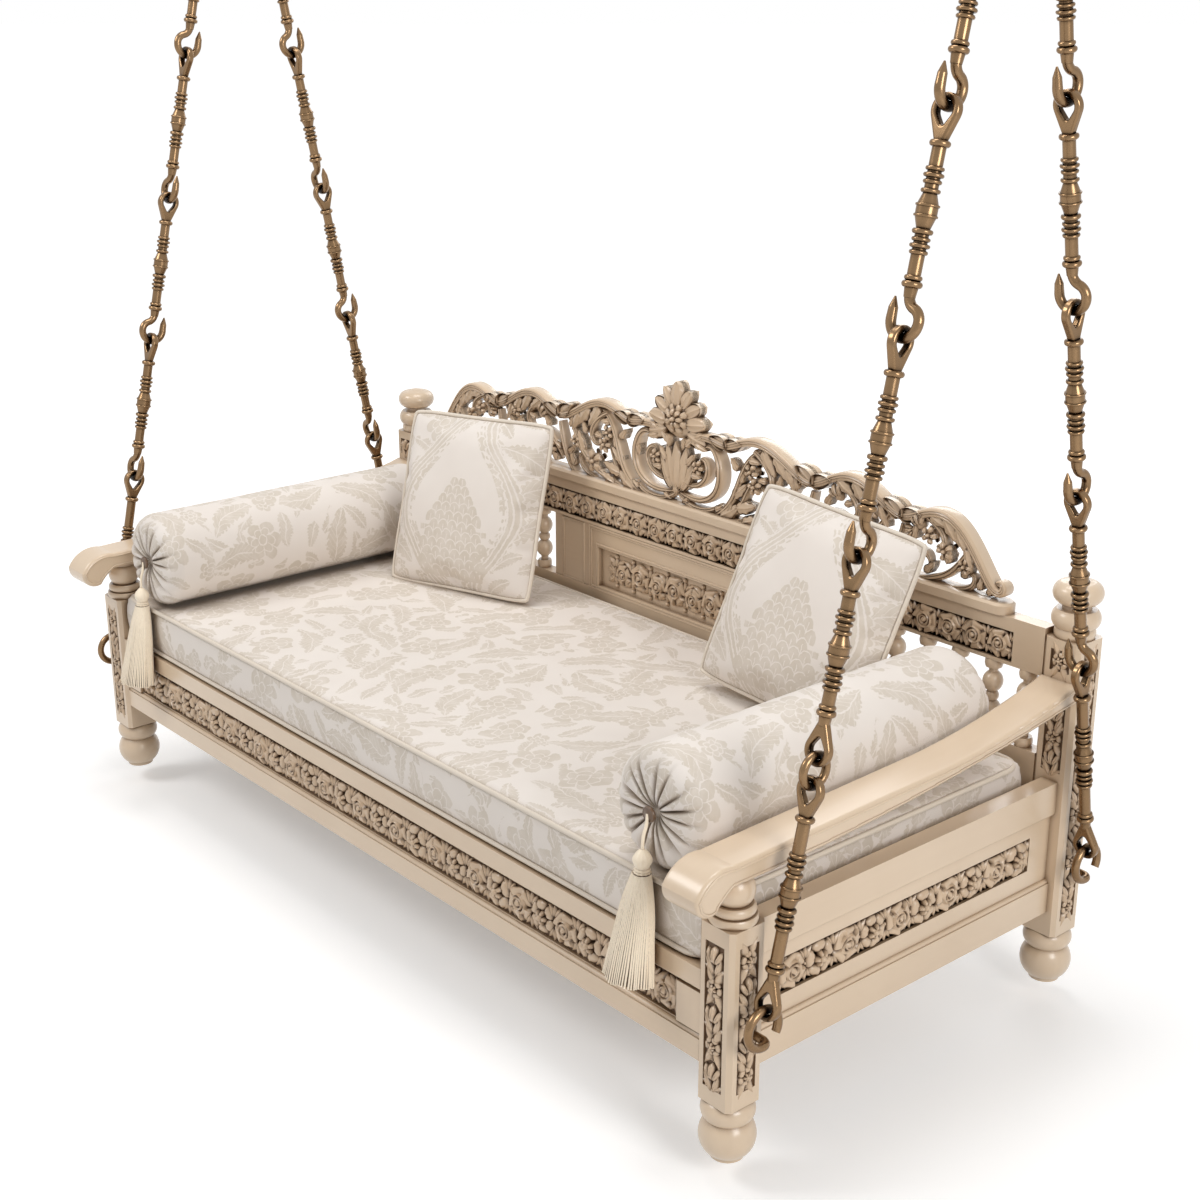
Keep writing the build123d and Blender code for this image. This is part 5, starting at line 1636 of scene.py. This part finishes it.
# Plain blocks join the front and back halves of the leaves to one plank.
BLOCK_WIDE = {"bloom": 0.013, "tulip": 0.010, "great_rose": 0.040}
core = dome_mesh(1.0, 1.0, 12, 3)
parts = []
for x, h, turn, size, kind, out in sprays:
    if kind in BLOCK_WIDE:
        wide = BLOCK_WIDE[kind] * size
        for mirror in (1, -1) if x else (1,):
            for face in (1, -1):
                block = Matrix.Translation((mirror * x / 1000, h / 1000, 0))
                parts.append((core, block @ Matrix.Diagonal((wide, wide, face * (out + 4) / 1000, 1))))
for face in (1, -1):
    for h, wide, tall in ((780, 0.052, 0.030), (812, 0.036, 0.028)):
        block = Matrix.Translation((0, h / 1000, 0))
        parts.append((core, block @ Matrix.Diagonal((wide, tall, face * 0.012, 1))))
backing = placed("crest_blanks", gathered(parts))
for thing in (leaves, backing):
    edit_all(thing)
    bpy.ops.mesh.normals_make_consistent(inside=False)
    leave()


def two_tone(thing, name, replaces=()):
    """Carved faces take the carved wood with its painted shade in the hollows; the sawn edges between front
    and back are plain lacquer.
    """
    thing.data.transform(crest_place)
    smooth(thing, 38)
    finish(thing, name, "seat", carved, replaces)
    thing.data.materials.append(wood_x)
    for face in thing.data.polygons:
        face.material_index = 1 if abs(face.normal.y) < 0.25 else 0


two_tone(rim, "crest_rim")
two_tone(scrolls, "crest_scrolls", ["crest"])
two_tone(leaves, "crest_leaves")
two_tone(backing, "crest_blanks")
for shape in (band_shape, scroll_shape):
    bpy.data.objects.remove(shape)


# ---- finishes of the kept pieces
METAL_WORDS = ("chain", "master_ring", "hook", "hanger", "plate", "pivot_pin")
for name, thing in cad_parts.items():
    if thing.hide_render:
        continue
    used = wood_x
    if any(word in name for word in METAL_WORDS):
        used = brass
    elif "post" in name or name in ("back_spindles", "front_stiles"):
        used = wood_z
    elif "side" in name or "arm" in name or name == "deck_slats":
        used = wood_y
    if not thing.data.materials:
        thing.data.materials.append(used)
    for place in range(len(thing.data.materials)):
        thing.data.materials[place] = used


# ---- room
def eye_light(tree):
    """1 where a ray goes on to the eye, also by way of a glossy or clear surface."""
    path = node(tree, "ShaderNodeLightPath")
    camera, glossy, clear = [
        Wire(tree, path.outputs["Is " + kind + " Ray"]) for kind in ("Camera", "Glossy", "Transmission")]
    return camera.either(glossy).either(clear)


bpy.ops.mesh.primitive_plane_add(size=400, location=(0, 0, FOOT_Z - 0.035))
ground = bpy.context.object
ground.name = "pale_floor"
pale, tree, matt = new_material("pale_floor")
matt.inputs["Base Color"].default_value = (0.90, 0.90, 0.90, 1)
matt.inputs["Roughness"].default_value = 1.0
matt.inputs["Specular IOR Level"].default_value = 0.0
reach = node(tree, "ShaderNodeVectorMath", operation="LENGTH")
tree.links.new(object_place(tree), reach.inputs[0])
far = ((Wire(tree, reach.outputs["Value"]) - 1.2) / 3.0).held()
glow = node(tree, "ShaderNodeEmission")
glow.inputs["Color"].default_value = (1, 1, 1, 1)
extra = eye_light(tree) * (far * 0.46 + 0.28)
tree.links.new(extra.socket, glow.inputs["Strength"])
both = node(tree, "ShaderNodeAddShader")
tree.links.new(matt.outputs[0], both.inputs[0])
tree.links.new(glow.outputs[0], both.inputs[1])
tree.links.new(both.outputs[0], tree.nodes["Material Output"].inputs["Surface"])
ground.data.materials.append(pale)

sky = bpy.data.worlds.new("studio")
bpy.context.scene.world = sky
sky.use_nodes = True
air = sky.node_tree
back = air.nodes["Background"]
level = eye_light(air) * 0.66 + 0.34
back.inputs["Color"].default_value = (1, 1, 1, 1)
air.links.new(level.socket, back.inputs["Strength"])


def soft_box(name, place, size, power):
    """A rectangular lamp that looks at the middle of the seat."""
    bpy.ops.object.light_add(type="AREA", location=place)
    lamp = bpy.context.object
    lamp.name = name
    lamp.data.shape = "RECTANGLE"
    lamp.data.size, lamp.data.size_y = size
    lamp.data.energy = power
    aim = Vector((0, 0, FOOT_Z + 0.4))
    lamp.rotation_euler = (aim - Vector(place)).to_track_quat("-Z", "Y").to_euler()


for name, place, size, power in (
    ("key", (-1.8, -2.8, 1.3), (1.5, 1.3), 61),
    ("fill", (3.7, -0.6, -0.3), (1.3, 1.3), 51),
    ("top", (-0.2, 0.1, 1.7), (1.8, 1.4), 49),
    ("rear", (-1.5, 3.4, 0.3), (2.0, 1.6), 26),
):
    soft_box(name, place, size, power)
